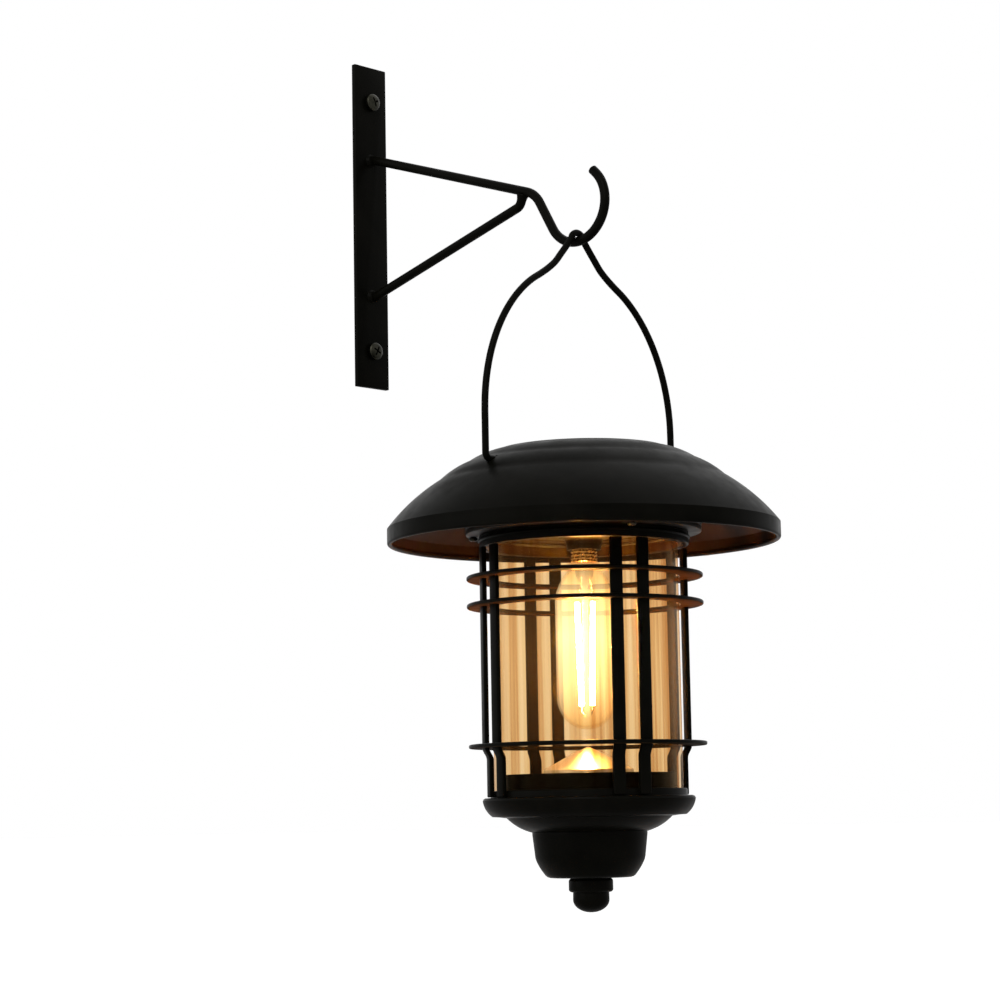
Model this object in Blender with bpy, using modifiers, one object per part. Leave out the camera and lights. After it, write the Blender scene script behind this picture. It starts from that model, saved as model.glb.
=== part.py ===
"""Solar lantern hanging by its bail from a wall bracket.

Metres, +Z up. The origin is the centre of the wall plate's back face, +X points out of the wall
along the arm. The lantern's own heights are measured from the lower edge of its hood.
"""

import math

import bmesh
import bpy
from mathutils import Matrix, Vector

# Fits
GAP = 0.0003  # between pieces that touch
SLOT_PLAY = 0.00025  # around a bayonet pin in its slot

# Facets round a turned piece
FIT_STEPS = 40  # where one piece turns in another
TURN_STEPS = 32
SMALL_STEPS = 20
HOLE_STEPS = 16
SCREW_STEPS = 12

# Steps along a bent rod or wire
HOOK_STEPS = 22
BEND_STEPS = 5
ARCH_STEPS = 7

# Meshing
MERGE_DISTANCE = 0.00001
SHARP_ANGLE = math.radians(40)

# Wall bracket
PLATE_HEIGHT = 0.156
PLATE_WIDTH = 0.020
PLATE_THICKNESS = 0.0025
PLATE_EDGE_BEVEL = 0.0003
WALL_SCREW_END_DISTANCE = 0.0175  # from the plate's end
WALL_SCREW_SHANK_RADIUS = 0.0020
WALL_SCREW_HEAD_RADIUS = 0.0040
WALL_SCREW_HEAD_HEIGHT = 0.0028
WALL_SCREW_DOME = 0.0007
ROD_RADIUS = 0.0021
ROD_SPACING = 0.066
ROD_MIDDLE_DROP = 0.0012  # of the two rods' roots, below the plate's centre
ROD_ROOT_LENGTH = 0.0025  # straight stretch in front of the plate
ARM_DROP = math.radians(18.8)
ARM_BEND_RADIUS = 0.014
BRACE_SETBACK = 0.0320  # of its end, behind the hook's valley
BRACE_TIP_LENGTH = 0.0045
BRACE_BEND_RADIUS = 0.004
HOOK_REACH = 0.1345
HOOK_RADIUS = 0.0168
HOOK_VALLEY_DROP = 0.030  # below the plate's centre
HOOK_SHANK_SLOPE = math.radians(60)
HOOK_TIP_ANGLE = math.radians(47)

# Bail: legs, an elliptical arch, and a neck that closes in over the hook
BAIL_WIRE_RADIUS = 0.0015
BAIL_HALF_SPAN = 0.0597
BAIL_ARCH_DEPTH = 0.0850  # of the foot of the arch, below the bail's top
BAIL_ARCH_RISE = 0.0693
BAIL_ARCH_TURN = math.radians(66)
BAIL_LEG_LENGTH = 0.0202  # from the foot of the arch to the pivot
BAIL_NECK_DEPTH = 0.0136
BAIL_NECK_HALF_WIDTH = 0.0138
BAIL_NECK_MIDDLE_DEPTH = 0.0082
BAIL_CROWN_PLAY = 0.0016  # beside the hook's rod
BAIL_ELBOW_RADIUS = 0.0024
BAIL_STUB_LENGTH = 0.0105  # of the wire's end, inwards from the leg
BAIL_TAIL_LENGTH = 0.0045  # turned down inside the hood, which keeps the end in its hole
BAIL_TAIL_BEND_RADIUS = 0.0020
BAIL_HOLE_SETBACK = 0.0010  # from the hole in the hood to the start of the elbow

# Lantern
LANTERN_YAW = math.radians(-23)  # of the lamp and cage, against the bail

# Hood
HOOD_RADIUS = 0.0851
HOOD_LIP_HEIGHT = 0.0070
HOOD_SHEET = 0.0010
HOOD_BROW = 0.0014  # bulge above the lip
RIDGE_BULGE = 0.0007
RIDGE_1_OFFSET = 0.0146  # outwards from the crown
RIDGE_1_DROP = 0.0058  # below the crown
RIDGE_2_OFFSET = 0.0265
RIDGE_2_DROP = 0.0134
CROWN_WIDTH = 0.0035  # round the recess
CROWN_RISE = 0.0025  # above the recess
CROWN_ROLL_WIDTH = 0.0025
CROWN_ROLL_DROP = 0.0007
RECESS_PLAY = 0.0013  # round the cap's flange

# Solar cap
CELL_SIDE = 0.0360
CELL_THICKNESS = 0.0014
CAP_POCKET_WALL = 0.0008  # least, at the cell's corners
CAP_FLANGE_WIDTH = 0.0042
CAP_FLANGE_THICKNESS = 0.0010
CAP_TOP_THICKNESS = 0.0042
CAP_SKIRT_WALL = 0.0020
CAP_SKIRT_DEPTH = 0.0100  # from the cap's top
CAP_BATTERY_CLEARANCE = 0.0029
GASKET_SETBACK = 0.0008  # from the cap's hole
GASKET_THICKNESS = 0.0008

# Lamp module
TUB_WALL = 0.0020
TUB_CEILING = 0.0038
TUB_CLEARANCE = 0.0040  # round what stands inside
FLANGE_MARGIN = 0.0029  # outside the screw circle
FLANGE_THICKNESS = 0.0020
LAMP_PLATE_UNDERSIDE = 0.0040
LAMP_PLATE_THICKNESS = 0.0020
SPIGOT_PLAY = 0.0004  # round the glass
SPIGOT_WALL = 0.0014
SPIGOT_DEPTH = 0.0056
PLATE_SCREW_COUNT = 3
PLATE_SCREW_SHANK_RADIUS = 0.0012
PLATE_SCREW_HEAD_RADIUS = 0.0019
PLATE_SCREW_HEAD_HEIGHT = 0.0015
BATTERY_RADIUS = 0.00725
BATTERY_LENGTH = 0.0505
HOLDER_WALL = 0.0020
HOLDER_BAY_FLOOR = 0.0010
HOLDER_BAY_DEPTH = 0.0110
HOLDER_SOCKET_CLEARANCE = 0.0010
CONTACT_THICKNESS = 0.0006
CONTACT_SIDE = 0.0090
BOARD_LENGTH = 0.0260
BOARD_WIDTH = 0.0140
BOARD_THICKNESS = 0.0016
BOARD_CLEARANCE = 0.0034  # from the battery's holder
SWITCH_ANGLE = math.radians(60)
SWITCH_BODY_SIDE = 0.0086
SWITCH_BODY_HEIGHT = 0.0080
SWITCH_TUB_CLEARANCE = 0.0019
BUTTON_RADIUS = 0.0035
BUTTON_EDGE = 0.0005
BUTTON_STEM_RADIUS = 0.0025
BUTTON_STEM_LENGTH = 0.0058
BUTTON_PROUD = 0.0030
BUTTON_TRAVEL = 0.0015

# Bulb
BULB_CAP_RADIUS = 0.0058
BULB_CAP_LENGTH = 0.0170
BULB_CAP_EYELET_RADIUS = 0.0026
BULB_CAP_TAPER = 0.0023
SOCKET_WALL = 0.0019
SOCKET_MOUTH_TAPER = 0.0006
SOCKET_ABOVE_PLATE = 0.0050
SOCKET_BELOW_PLATE = 0.0070
SOCKET_ROOF = 0.0020
SOCKET_FLANGE_WIDTH = 0.0030
SOCKET_FLANGE_THICKNESS = 0.0017
SOCKET_FLANGE_FILLET = 0.0009
BULB_RADIUS = 0.0130
BULB_LENGTH = 0.0717
BULB_NECK_LENGTH = 0.0018
BULB_NECK_STEP = 0.0001  # inside the cap's edge
BULB_SHOULDER = 0.0150
BULB_SHOULDER_BULGE = 0.0012
BULB_NOSE = 0.0140
BULB_WALL = 0.0008
STEM_CLEARANCE = 0.0009  # inside the neck
STEM_SHOULDER = 0.0050
STEM_ROOT_LENGTH = 0.0110
STEM_ROD_RADIUS = 0.0012
STEM_NOSE_CLEARANCE = 0.0062
FILAMENT_RADIUS = 0.0010
FILAMENT_LEAD_RADIUS = 0.00035
FILAMENT_LEAD_RISE = 0.0020
FILAMENT_SPREAD_TOP = 0.0038
FILAMENT_SPREAD_BOTTOM = 0.0026
FILAMENT_ANGLE = math.radians(40)

# Cage
GLASS_RADIUS = 0.0405
GLASS_WALL = 0.0020
SEAL_THICKNESS = 0.0012
COLLAR_WALL = 0.0034
COLLAR_DEPTH = 0.0053
PIN_RADIUS = 0.0010
PIN_REACH = 0.0011  # into the spigot's wall
PIN_DROP = 0.0028  # below the lamp plate's underside
PIN_COUNT = 3
PIN_FIRST_ANGLE = math.radians(30)
TWIST_ANGLE = math.radians(14)
BAR_WIDTH = 0.0053
BAR_THICKNESS = 0.0020
BAR_JOGGLE = 0.0019  # outwards, above the lower ring
BAR_JOGGLE_LENGTH = 0.0034
BAR_PAIR_HALF_ANGLE = math.radians(7.8)
BAR_PAIRS = 4
RING_OVERHANG = 0.0048  # outside the bars
RING_PLAY = 0.0006  # round the glass
RING_THICKNESS = 0.0016
UPPER_RING_DROP = 0.0148  # below the hood's edge
MIDDLE_RING_DROP = 0.0268
LOWER_RING_LIFT = 0.0220  # above the base's ledge

# Base
REFLECTOR_RADIUS = 0.0195
REFLECTOR_HEIGHT = 0.0112
REFLECTOR_SHEET = 0.0008
REFLECTOR_LIP = 0.0014
REFLECTOR_BULGE = 0.0004
REFLECTOR_CLEARANCE = 0.0075  # below the bulb
TRAY_SHEET = 0.0015
TRAY_GROOVE_DEPTH = 0.0095
TRAY_LEDGE_DROP = 0.0097  # below the floor
TRAY_LIP_HEIGHT = 0.0030
TRAY_LIP_WALL = 0.0013
TRAY_RIM_MARGIN = 0.0012  # outside the bars' feet
TRAY_RIM_CHAMFER = 0.0012
TRAY_SHOULDER_INSET = 0.0041  # inwards from the rim
TRAY_STEP_INSET = 0.0102
TRAY_STEP_DROP = 0.0086  # below the ledge
TRAY_STEP_SLOPE = 0.0006
TRAY_FOOT_DROP = 0.0148
TRAY_BULGE = 0.0011
CUP_RADIUS = 0.0247
CUP_BELLY_RADIUS = 0.0234
CUP_BELLY_DEPTH = 0.0110
CUP_BULGE = 0.0018
CUP_FOOT_RADIUS = 0.0175
CUP_DEPTH = 0.0191
CUP_WALL = 0.0015
STUD_RADIUS = 0.0030
STUD_ABOVE_NUT = 0.0010
NUT_RADIUS = 0.0058
NUT_HEIGHT = 0.0050
FINIAL_COLLAR_RADIUS = 0.0095
FINIAL_COLLAR_HEIGHT = 0.0058
FINIAL_CHAMFER = 0.0008
KNOB_TOP_RADIUS = 0.0077
KNOB_RADIUS = 0.0078
KNOB_WAIST = 0.0029  # below its top
KNOB_HEIGHT = 0.0083
KNOB_BORE_DEPTH = 0.0045

# Bracket and bail, from the sizes above
WALL_SCREW_HEIGHT = PLATE_HEIGHT / 2 - WALL_SCREW_END_DISTANCE
UPPER_ROOT = ROD_SPACING / 2 - ROD_MIDDLE_DROP
LOWER_ROOT = -ROD_SPACING / 2 - ROD_MIDDLE_DROP
HOOK_POINT = Vector((HOOK_REACH, 0, -HOOK_VALLEY_DROP))
BAIL_TOP_RISE = ROD_RADIUS + GAP + BAIL_WIRE_RADIUS
BAIL_HEIGHT = BAIL_ARCH_DEPTH + BAIL_LEG_LENGTH
BAIL_HOLE_RADIUS = BAIL_WIRE_RADIUS + GAP

# Radii that follow from the glass, from the inside outwards
SPIGOT_INNER_RADIUS = GLASS_RADIUS + SPIGOT_PLAY
SPIGOT_RADIUS = SPIGOT_INNER_RADIUS + SPIGOT_WALL
COLLAR_INNER_RADIUS = SPIGOT_RADIUS + GAP
COLLAR_RADIUS = COLLAR_INNER_RADIUS + COLLAR_WALL
PLATE_SCREW_CIRCLE = COLLAR_RADIUS + PLATE_SCREW_HEAD_RADIUS + GAP
FLANGE_RADIUS = PLATE_SCREW_CIRCLE + FLANGE_MARGIN
GROOVE_INNER_RADIUS = GLASS_RADIUS - GLASS_WALL - 2 * GAP
GROOVE_OUTER_RADIUS = GLASS_RADIUS + GAP
TRAY_LIP_RADIUS = GROOVE_OUTER_RADIUS + TRAY_LIP_WALL
BAR_FOOT_RADIUS = TRAY_LIP_RADIUS + GAP
BAR_HEAD_RADIUS = BAR_FOOT_RADIUS + BAR_JOGGLE
BAR_OUTER_RADIUS = BAR_HEAD_RADIUS + BAR_THICKNESS
RING_RADIUS = BAR_OUTER_RADIUS + RING_OVERHANG
TRAY_RIM_RADIUS = BAR_FOOT_RADIUS + BAR_THICKNESS + TRAY_RIM_MARGIN

# The lamp plate, what stands on it, and the hood's deck over that
LAMP_PLATE_TOP = LAMP_PLATE_UNDERSIDE + LAMP_PLATE_THICKNESS
MODULE_SEAT = LAMP_PLATE_TOP + GAP
SOCKET_INNER_RADIUS = BULB_CAP_RADIUS + GAP
SOCKET_RADIUS = SOCKET_INNER_RADIUS + SOCKET_WALL
SOCKET_BORE_TOP = LAMP_PLATE_UNDERSIDE + SOCKET_ABOVE_PLATE
HOLDER_ARCH = SOCKET_BORE_TOP + SOCKET_ROOF + HOLDER_SOCKET_CLEARANCE
BAY_FLOOR = HOLDER_ARCH + HOLDER_BAY_FLOOR
BAY_LENGTH = BATTERY_LENGTH + 2 * CONTACT_THICKNESS + 4 * GAP
BAY_WIDTH = 2 * (BATTERY_RADIUS + GAP)
HOLDER_LENGTH = BAY_LENGTH + 2 * HOLDER_WALL
HOLDER_WIDTH = BAY_WIDTH + 2 * HOLDER_WALL
BATTERY_AXIS = BAY_FLOOR + GAP + BATTERY_RADIUS
BOARD_OFFSET = HOLDER_WIDTH / 2 + BOARD_CLEARANCE + BOARD_WIDTH / 2
HOLDER_CORNER = math.hypot(HOLDER_LENGTH / 2, HOLDER_WIDTH / 2)
BOARD_CORNER = math.hypot(BOARD_LENGTH / 2, BOARD_OFFSET + BOARD_WIDTH / 2)
TUB_INNER_RADIUS = max(HOLDER_CORNER, BOARD_CORNER) + TUB_CLEARANCE
TUB_RADIUS = TUB_INNER_RADIUS + TUB_WALL
SWITCH_CIRCLE = TUB_INNER_RADIUS - SWITCH_TUB_CLEARANCE - SWITCH_BODY_SIDE / math.sqrt(2)
SWITCH_PLACE = Vector((math.cos(SWITCH_ANGLE), math.sin(SWITCH_ANGLE), 0)) * SWITCH_CIRCLE
CAP_TOP = BATTERY_AXIS + BATTERY_RADIUS + CAP_BATTERY_CLEARANCE + CAP_SKIRT_DEPTH
RECESS_HEIGHT = CAP_TOP - CAP_FLANGE_THICKNESS - GASKET_THICKNESS - 2 * GAP
CROWN_HEIGHT = RECESS_HEIGHT + CROWN_RISE
CELL_POCKET_SIDE = CELL_SIDE + 2 * GAP
CAP_RADIUS = CELL_POCKET_SIDE / math.sqrt(2) + CAP_POCKET_WALL
CAP_HOLE_RADIUS = CAP_RADIUS + GAP
CAP_FLANGE_RADIUS = CAP_HOLE_RADIUS + CAP_FLANGE_WIDTH
RECESS_RADIUS = CAP_FLANGE_RADIUS + RECESS_PLAY
CROWN_RADIUS = RECESS_RADIUS + CROWN_WIDTH

# Heights down the cage and base
SPIGOT_BOTTOM = LAMP_PLATE_UNDERSIDE - SPIGOT_DEPTH
COLLAR_TOP = LAMP_PLATE_UNDERSIDE - GAP
COLLAR_BOTTOM = COLLAR_TOP - COLLAR_DEPTH
BULB_CAP_TOP = SOCKET_BORE_TOP - GAP
BULB_TOP = BULB_CAP_TOP - BULB_CAP_LENGTH - GAP
BULB_BOTTOM = BULB_TOP - BULB_LENGTH
TRAY_FLOOR = BULB_BOTTOM - REFLECTOR_CLEARANCE - REFLECTOR_HEIGHT - GAP
TRAY_LEDGE = TRAY_FLOOR - TRAY_LEDGE_DROP
TRAY_FOOT = TRAY_LEDGE - TRAY_FOOT_DROP
GROOVE_FLOOR = TRAY_FLOOR - TRAY_GROOVE_DEPTH
LOWER_RING = TRAY_LEDGE + LOWER_RING_LIFT
CUP_TOP = TRAY_FOOT - GAP
CUP_FLOOR = CUP_TOP - CUP_DEPTH
STUD_HOLE_RADIUS = STUD_RADIUS + GAP
FINIAL_TOP = CUP_FLOOR - GAP
KNOB_TOP = FINIAL_TOP - FINIAL_COLLAR_HEIGHT - GAP


def clear_scene():
    for obj in list(bpy.data.objects):
        bpy.data.objects.remove(obj, do_unlink=True)


def new_collection(name):
    collection = bpy.data.collections.new(name)
    bpy.context.scene.collection.children.link(collection)
    return collection


def make_finish(name, colour, roughness, metallic, transmission=0.0):
    finish = bpy.data.materials.new(name)
    finish.use_nodes = True
    shader = finish.node_tree.nodes["Principled BSDF"]
    shader.inputs["Base Color"].default_value = (*colour, 1)
    shader.inputs["Roughness"].default_value = roughness
    shader.inputs["Metallic"].default_value = metallic
    shader.inputs["Transmission Weight"].default_value = transmission
    return finish


clear_scene()
PARTS = new_collection("solar_lantern")
CUTTERS = new_collection("cutters")

BLACK_PAINT = make_finish("black_paint", (0.012, 0.011, 0.009), 0.42, 0.2)
BLACK_PLASTIC = make_finish("black_plastic", (0.018, 0.018, 0.018), 0.5, 0.0)
CLEAR_GLASS = make_finish("clear_glass", (1.0, 0.93, 0.80), 0.05, 0.0, 1.0)
BULB_GLASS = make_finish("bulb_glass", (1.0, 0.88, 0.65), 0.05, 0.0, 1.0)
FILAMENT = make_finish("filament", (1.0, 0.72, 0.32), 0.5, 0.0)
BRASS = make_finish("brass", (0.65, 0.45, 0.18), 0.3, 1.0)
STEEL = make_finish("steel", (0.55, 0.55, 0.55), 0.35, 1.0)
RUBBER = make_finish("rubber", (0.03, 0.03, 0.03), 0.8, 0.0)
CELL_BLUE = make_finish("solar_cell", (0.01, 0.015, 0.05), 0.15, 0.0)
BOARD_GREEN = make_finish("board", (0.02, 0.16, 0.05), 0.5, 0.0)
BATTERY_WRAP = make_finish("battery_wrap", (0.05, 0.28, 0.12), 0.4, 0.0)
MIRROR_METAL = make_finish("mirror_metal", (0.85, 0.85, 0.85), 0.12, 1.0)


def add_empty(name, location, parent=None, yaw=0.0):
    empty = bpy.data.objects.new(name, None)
    empty.location = location
    empty.rotation_euler.z = yaw
    empty.parent = parent
    PARTS.objects.link(empty)
    return empty


def place(name, mesh, finish, parent=None, location=(0, 0, 0)):
    """A sub-part: a mesh or curve with its finish, under its parent's axis."""
    obj = bpy.data.objects.new(name, mesh)
    obj.location = location
    obj.parent = parent
    mesh.materials.append(finish)
    PARTS.objects.link(obj)
    return obj


def cut(obj, name, mesh, parent=None, location=(0, 0, 0), operation="DIFFERENCE"):
    """Takes a closed mesh away from a sub-part, or joins it on."""
    cutter = bpy.data.objects.new(name, mesh)
    cutter.location = location
    cutter.parent = parent
    cutter.hide_render = True
    cutter.display_type = "WIRE"
    CUTTERS.objects.link(cutter)
    boolean = obj.modifiers.new(name, "BOOLEAN")
    boolean.operation = operation
    boolean.object = cutter


def finish_mesh(name, build):
    mesh = bpy.data.meshes.new(name)
    build.to_mesh(mesh)
    build.free()
    return mesh


def box_mesh(name, size, centre=(0, 0, 0), turn=0.0, bevel=0.0):
    """A box, turned about Z after it is put at its centre."""
    build = bmesh.new()
    bmesh.ops.create_cube(build, size=1)
    bmesh.ops.scale(build, vec=size, verts=build.verts)
    if bevel:
        bmesh.ops.bevel(build, geom=build.edges[:], offset=bevel, segments=1, affect="EDGES")
    move = Matrix.Rotation(turn, 4, "Z") @ Matrix.Translation(centre)
    bmesh.ops.transform(build, matrix=move, verts=build.verts)
    return finish_mesh(name, build)


def cylinder_mesh(name, radius, start, end, sides=SMALL_STEPS):
    """A capped cylinder between two points."""
    start, end = Vector(start), Vector(end)
    along = end - start
    build = bmesh.new()
    bmesh.ops.create_cone(
        build, cap_ends=True, segments=sides, radius1=radius, radius2=radius, depth=along.length
    )
    turn = Vector((0, 0, 1)).rotation_difference(along.normalized()).to_matrix().to_4x4()
    move = Matrix.Translation((start + end) / 2) @ turn
    bmesh.ops.transform(build, matrix=move, verts=build.verts)
    mesh = finish_mesh(name, build)
    mesh.shade_smooth()
    mesh.set_sharp_from_angle(angle=SHARP_ANGLE)
    return mesh


def turned_part(name, profile, finish, parent, location=(0, 0, 0), steps=TURN_STEPS, closed=True):
    """A profile of (radius, height) points, down its outer side, turned about Z."""
    build = bmesh.new()
    points = [build.verts.new((radius, 0, height)) for radius, height in profile]
    pairs = list(zip(points, points[1:]))
    if closed:
        pairs.append((points[-1], points[0]))
    for pair in pairs:
        build.edges.new(pair)
    obj = place(name, finish_mesh(name, build), finish, parent, location)
    screw = obj.modifiers.new("turn", "SCREW")
    screw.steps = screw.render_steps = steps
    screw.use_merge_vertices = True
    screw.merge_threshold = MERGE_DISTANCE
    screw.use_smooth_shade = True
    return obj


def turned_shell(name, profile, sheet, finish, parent, location=(0, 0, 0), steps=TURN_STEPS):
    """A turned sheet of even thickness, whose profile is its outer side."""
    obj = turned_part(name, profile, finish, parent, location, steps, closed=False)
    wall = obj.modifiers.new("sheet", "SOLIDIFY")
    wall.thickness = sheet
    wall.offset = -1
    wall.use_even_offset = True
    return obj


def ring_part(name, inner, outer, bottom, top, finish, parent, location=(0, 0, 0), steps=TURN_STEPS):
    profile = [(outer, top), (outer, bottom), (inner, bottom), (inner, top)]
    return turned_part(name, profile, finish, parent, location, steps)


def rod_part(name, points, radius, finish, parent=None, location=(0, 0, 0), widths=None, sides=2):
    """A round wire or rod along points. widths scales its radius at each of them."""
    curve = bpy.data.curves.new(name, "CURVE")
    curve.dimensions = "3D"
    curve.bevel_depth = radius
    curve.bevel_resolution = sides
    curve.use_fill_caps = True
    spline = curve.splines.new("POLY")
    spline.points.add(len(points) - 1)
    for i, point in enumerate(points):
        spline.points[i].co = (*point, 1)
        spline.points[i].radius = widths[i] if widths else 1
    spline.use_smooth = True
    return place(name, curve, finish, parent, location)


def plate_mesh(name, outline, thickness):
    """A flat outline in XZ, thick along Y."""
    curve = bpy.data.curves.new(name, "CURVE")
    curve.dimensions = "2D"
    curve.fill_mode = "BOTH"
    curve.extrude = thickness / 2
    spline = curve.splines.new("POLY")
    spline.points.add(len(outline) - 1)
    for point, (across, up) in zip(spline.points, outline):
        point.co = (across, up, 0, 1)
    spline.use_cyclic_u = True
    guide = bpy.data.objects.new(name, curve)
    CUTTERS.objects.link(guide)
    bpy.context.view_layer.update()
    mesh = bpy.data.meshes.new_from_object(guide.evaluated_get(bpy.context.evaluated_depsgraph_get()))
    bpy.data.objects.remove(guide, do_unlink=True)
    build = bmesh.new()
    build.from_mesh(mesh)
    bmesh.ops.remove_doubles(build, verts=build.verts, dist=MERGE_DISTANCE)
    bmesh.ops.rotate(build, matrix=Matrix.Rotation(math.pi / 2, 3, "X"), verts=build.verts)
    bmesh.ops.recalc_face_normals(build, faces=build.faces)
    build.to_mesh(mesh)
    build.free()
    return mesh


def arc_points(centre, radius, start, end, steps):
    """Points of an arc in the XZ plane."""
    turns = [start + (end - start) * i / steps for i in range(steps + 1)]
    return [Vector((centre.x + radius * math.cos(t), 0, centre.z + radius * math.sin(t))) for t in turns]


def rounded_corner(before, corner, after, radius, steps):
    """Points of the arc that rounds a corner between two straight stretches."""
    back = (before - corner).normalized()
    ahead = (after - corner).normalized()
    half = back.angle(ahead) / 2
    middle = corner + (back + ahead).normalized() * radius / math.sin(half)
    first = corner + back * radius / math.tan(half) - middle
    last = corner + ahead * radius / math.tan(half) - middle
    return [middle + first.slerp(last, i / steps).normalized() * radius for i in range(steps + 1)]


def smooth_through(points, steps):
    """A smooth curve through hand-placed points, with its end points kept."""
    padded = [points[0] * 2 - points[1], *points, points[-1] * 2 - points[-2]]
    curve = []
    for a, b, c, d in zip(padded, padded[1:], padded[2:], padded[3:]):
        for i in range(steps):
            t = i / steps
            bend = 2 * a - 5 * b + 4 * c - d
            twist = 3 * b - a - 3 * c + d
            curve.append(b + ((c - a) * t + bend * t**2 + twist * t**3) / 2)
    return [*curve, points[-1]]


def bulge(start, end, rise, steps):
    """Points after start on a shallow arc to end, rise metres proud of the straight line."""
    start, end = Vector(start), Vector(end)
    along = end - start
    outward = Vector((-along.y, along.x)).normalized()
    shares = [i / steps for i in range(1, steps + 1)]
    return [start + along * s + outward * rise * 4 * s * (1 - s) for s in shares]


# Wall bracket


def add_wall_plate():
    size = (PLATE_THICKNESS, PLATE_WIDTH, PLATE_HEIGHT)
    plate = place(
        "wall_plate",
        box_mesh("wall_plate", size, (PLATE_THICKNESS / 2, 0, 0), bevel=PLATE_EDGE_BEVEL),
        BLACK_PAINT,
    )
    holes = {
        "screw_hole_upper": (WALL_SCREW_SHANK_RADIUS + GAP, WALL_SCREW_HEIGHT),
        "screw_hole_lower": (WALL_SCREW_SHANK_RADIUS + GAP, -WALL_SCREW_HEIGHT),
        "rod_hole_upper": (ROD_RADIUS + GAP, UPPER_ROOT),
        "rod_hole_lower": (ROD_RADIUS + GAP, LOWER_ROOT),
    }
    for name, (radius, height) in holes.items():
        ends = (-PLATE_THICKNESS, 0, height), (2 * PLATE_THICKNESS, 0, height)
        cut(plate, name, cylinder_mesh(name, radius, *ends, HOLE_STEPS))


def add_wall_screw(name, height):
    """A domed screw, standing along Z before it is turned to point into the wall."""
    top = (0, GAP + WALL_SCREW_HEAD_HEIGHT)
    profile = [
        top,
        *bulge(top, (WALL_SCREW_HEAD_RADIUS, GAP), WALL_SCREW_DOME, 4),
        (WALL_SCREW_SHANK_RADIUS, GAP),
        (WALL_SCREW_SHANK_RADIUS, GAP - PLATE_THICKNESS),
        (0, GAP - PLATE_THICKNESS),
    ]
    seat = (PLATE_THICKNESS, 0, height)
    screw = turned_part(name, profile, STEEL, None, seat, steps=SMALL_STEPS, closed=False)
    screw.rotation_euler.y = math.pi / 2


def arm_line(reach):
    """A point on the middle of the arm's straight stretch."""
    root = PLATE_THICKNESS + ROD_ROOT_LENGTH
    return Vector((reach, 0, UPPER_ROOT - (reach - root) * math.tan(ARM_DROP)))


def add_arm_rod():
    root = Vector((GAP, 0, UPPER_ROOT))
    start = arm_line(PLATE_THICKNESS + ROD_ROOT_LENGTH)
    centre = HOOK_POINT + Vector((0, 0, HOOK_RADIUS))
    shank_angle = -math.pi / 2 - HOOK_SHANK_SLOPE
    hook = arc_points(centre, HOOK_RADIUS, shank_angle, HOOK_TIP_ANGLE, HOOK_STEPS)
    down_shank = Vector((math.cos(HOOK_SHANK_SLOPE), 0, -math.sin(HOOK_SHANK_SLOPE)))
    down_arm = Vector((math.cos(ARM_DROP), 0, -math.sin(ARM_DROP)))
    to_hook = hook[0] - start
    spread = down_arm.x * down_shank.z - down_arm.z * down_shank.x
    along_arm = (to_hook.x * down_shank.z - to_hook.z * down_shank.x) / spread
    corner = start + down_arm * along_arm
    bend = rounded_corner(start, corner, hook[0], ARM_BEND_RADIUS, BEND_STEPS)
    onward = (hook[-1] - hook[-2]).normalized()
    rounding = [math.radians(angle) for angle in (30, 58, 80)]
    tip = [hook[-1] + onward * ROD_RADIUS * math.sin(t) for t in rounding]
    points = [root, start, *bend, *hook, *tip]
    widths = [1] * (len(points) - len(tip)) + [math.cos(t) for t in rounding]
    rod_part("arm_rod", points, ROD_RADIUS, BLACK_PAINT, widths=widths)


def add_brace_rod():
    """The lower rod, whose end turns up to meet the arm squarely from below."""
    root = Vector((GAP, 0, LOWER_ROOT))
    start = Vector((PLATE_THICKNESS + ROD_ROOT_LENGTH, 0, LOWER_ROOT))
    to_arm = Vector((math.sin(ARM_DROP), 0, math.cos(ARM_DROP)))
    end = arm_line(HOOK_REACH - BRACE_SETBACK) - to_arm * (ROD_RADIUS + GAP)
    corner = end - to_arm * BRACE_TIP_LENGTH
    bend = rounded_corner(start, corner, end, BRACE_BEND_RADIUS, BEND_STEPS)
    rod_part("brace_rod", [root, start, *bend, end], ROD_RADIUS, BLACK_PAINT)


# Hood


def hood_profile():
    """The hood's outer side, from its cap hole to the bottom of its lip."""
    crown = (CROWN_RADIUS, CROWN_HEIGHT)
    crown_edge = (CROWN_RADIUS + CROWN_ROLL_WIDTH, CROWN_HEIGHT - CROWN_ROLL_DROP)
    ridge_1 = (CROWN_RADIUS + RIDGE_1_OFFSET, CROWN_HEIGHT - RIDGE_1_DROP)
    ridge_2 = (CROWN_RADIUS + RIDGE_2_OFFSET, CROWN_HEIGHT - RIDGE_2_DROP)
    return [
        (CAP_HOLE_RADIUS, RECESS_HEIGHT),
        (RECESS_RADIUS, RECESS_HEIGHT),
        (RECESS_RADIUS + CROWN_WIDTH / 2, CROWN_HEIGHT - CROWN_RISE / 4),
        crown,
        crown_edge,
        *bulge(crown_edge, ridge_1, RIDGE_BULGE, 2),
        *bulge(ridge_1, ridge_2, RIDGE_BULGE, 2),
        *bulge(ridge_2, (HOOD_RADIUS, HOOD_LIP_HEIGHT), HOOD_BROW, 4),
        (HOOD_RADIUS, 0),
    ]


def hood_height(radius):
    """The height of the hood's outer side at a radius."""
    profile = [point for point in hood_profile() if point[0] >= CROWN_RADIUS]
    for (r0, z0), (r1, z1) in zip(profile, profile[1:]):
        if r0 <= radius <= r1:
            return z0 + (z1 - z0) * (radius - r0) / (r1 - r0)


PIVOT_HEIGHT = hood_height(BAIL_HALF_SPAN - BAIL_ELBOW_RADIUS - BAIL_HOLE_SETBACK)


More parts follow.
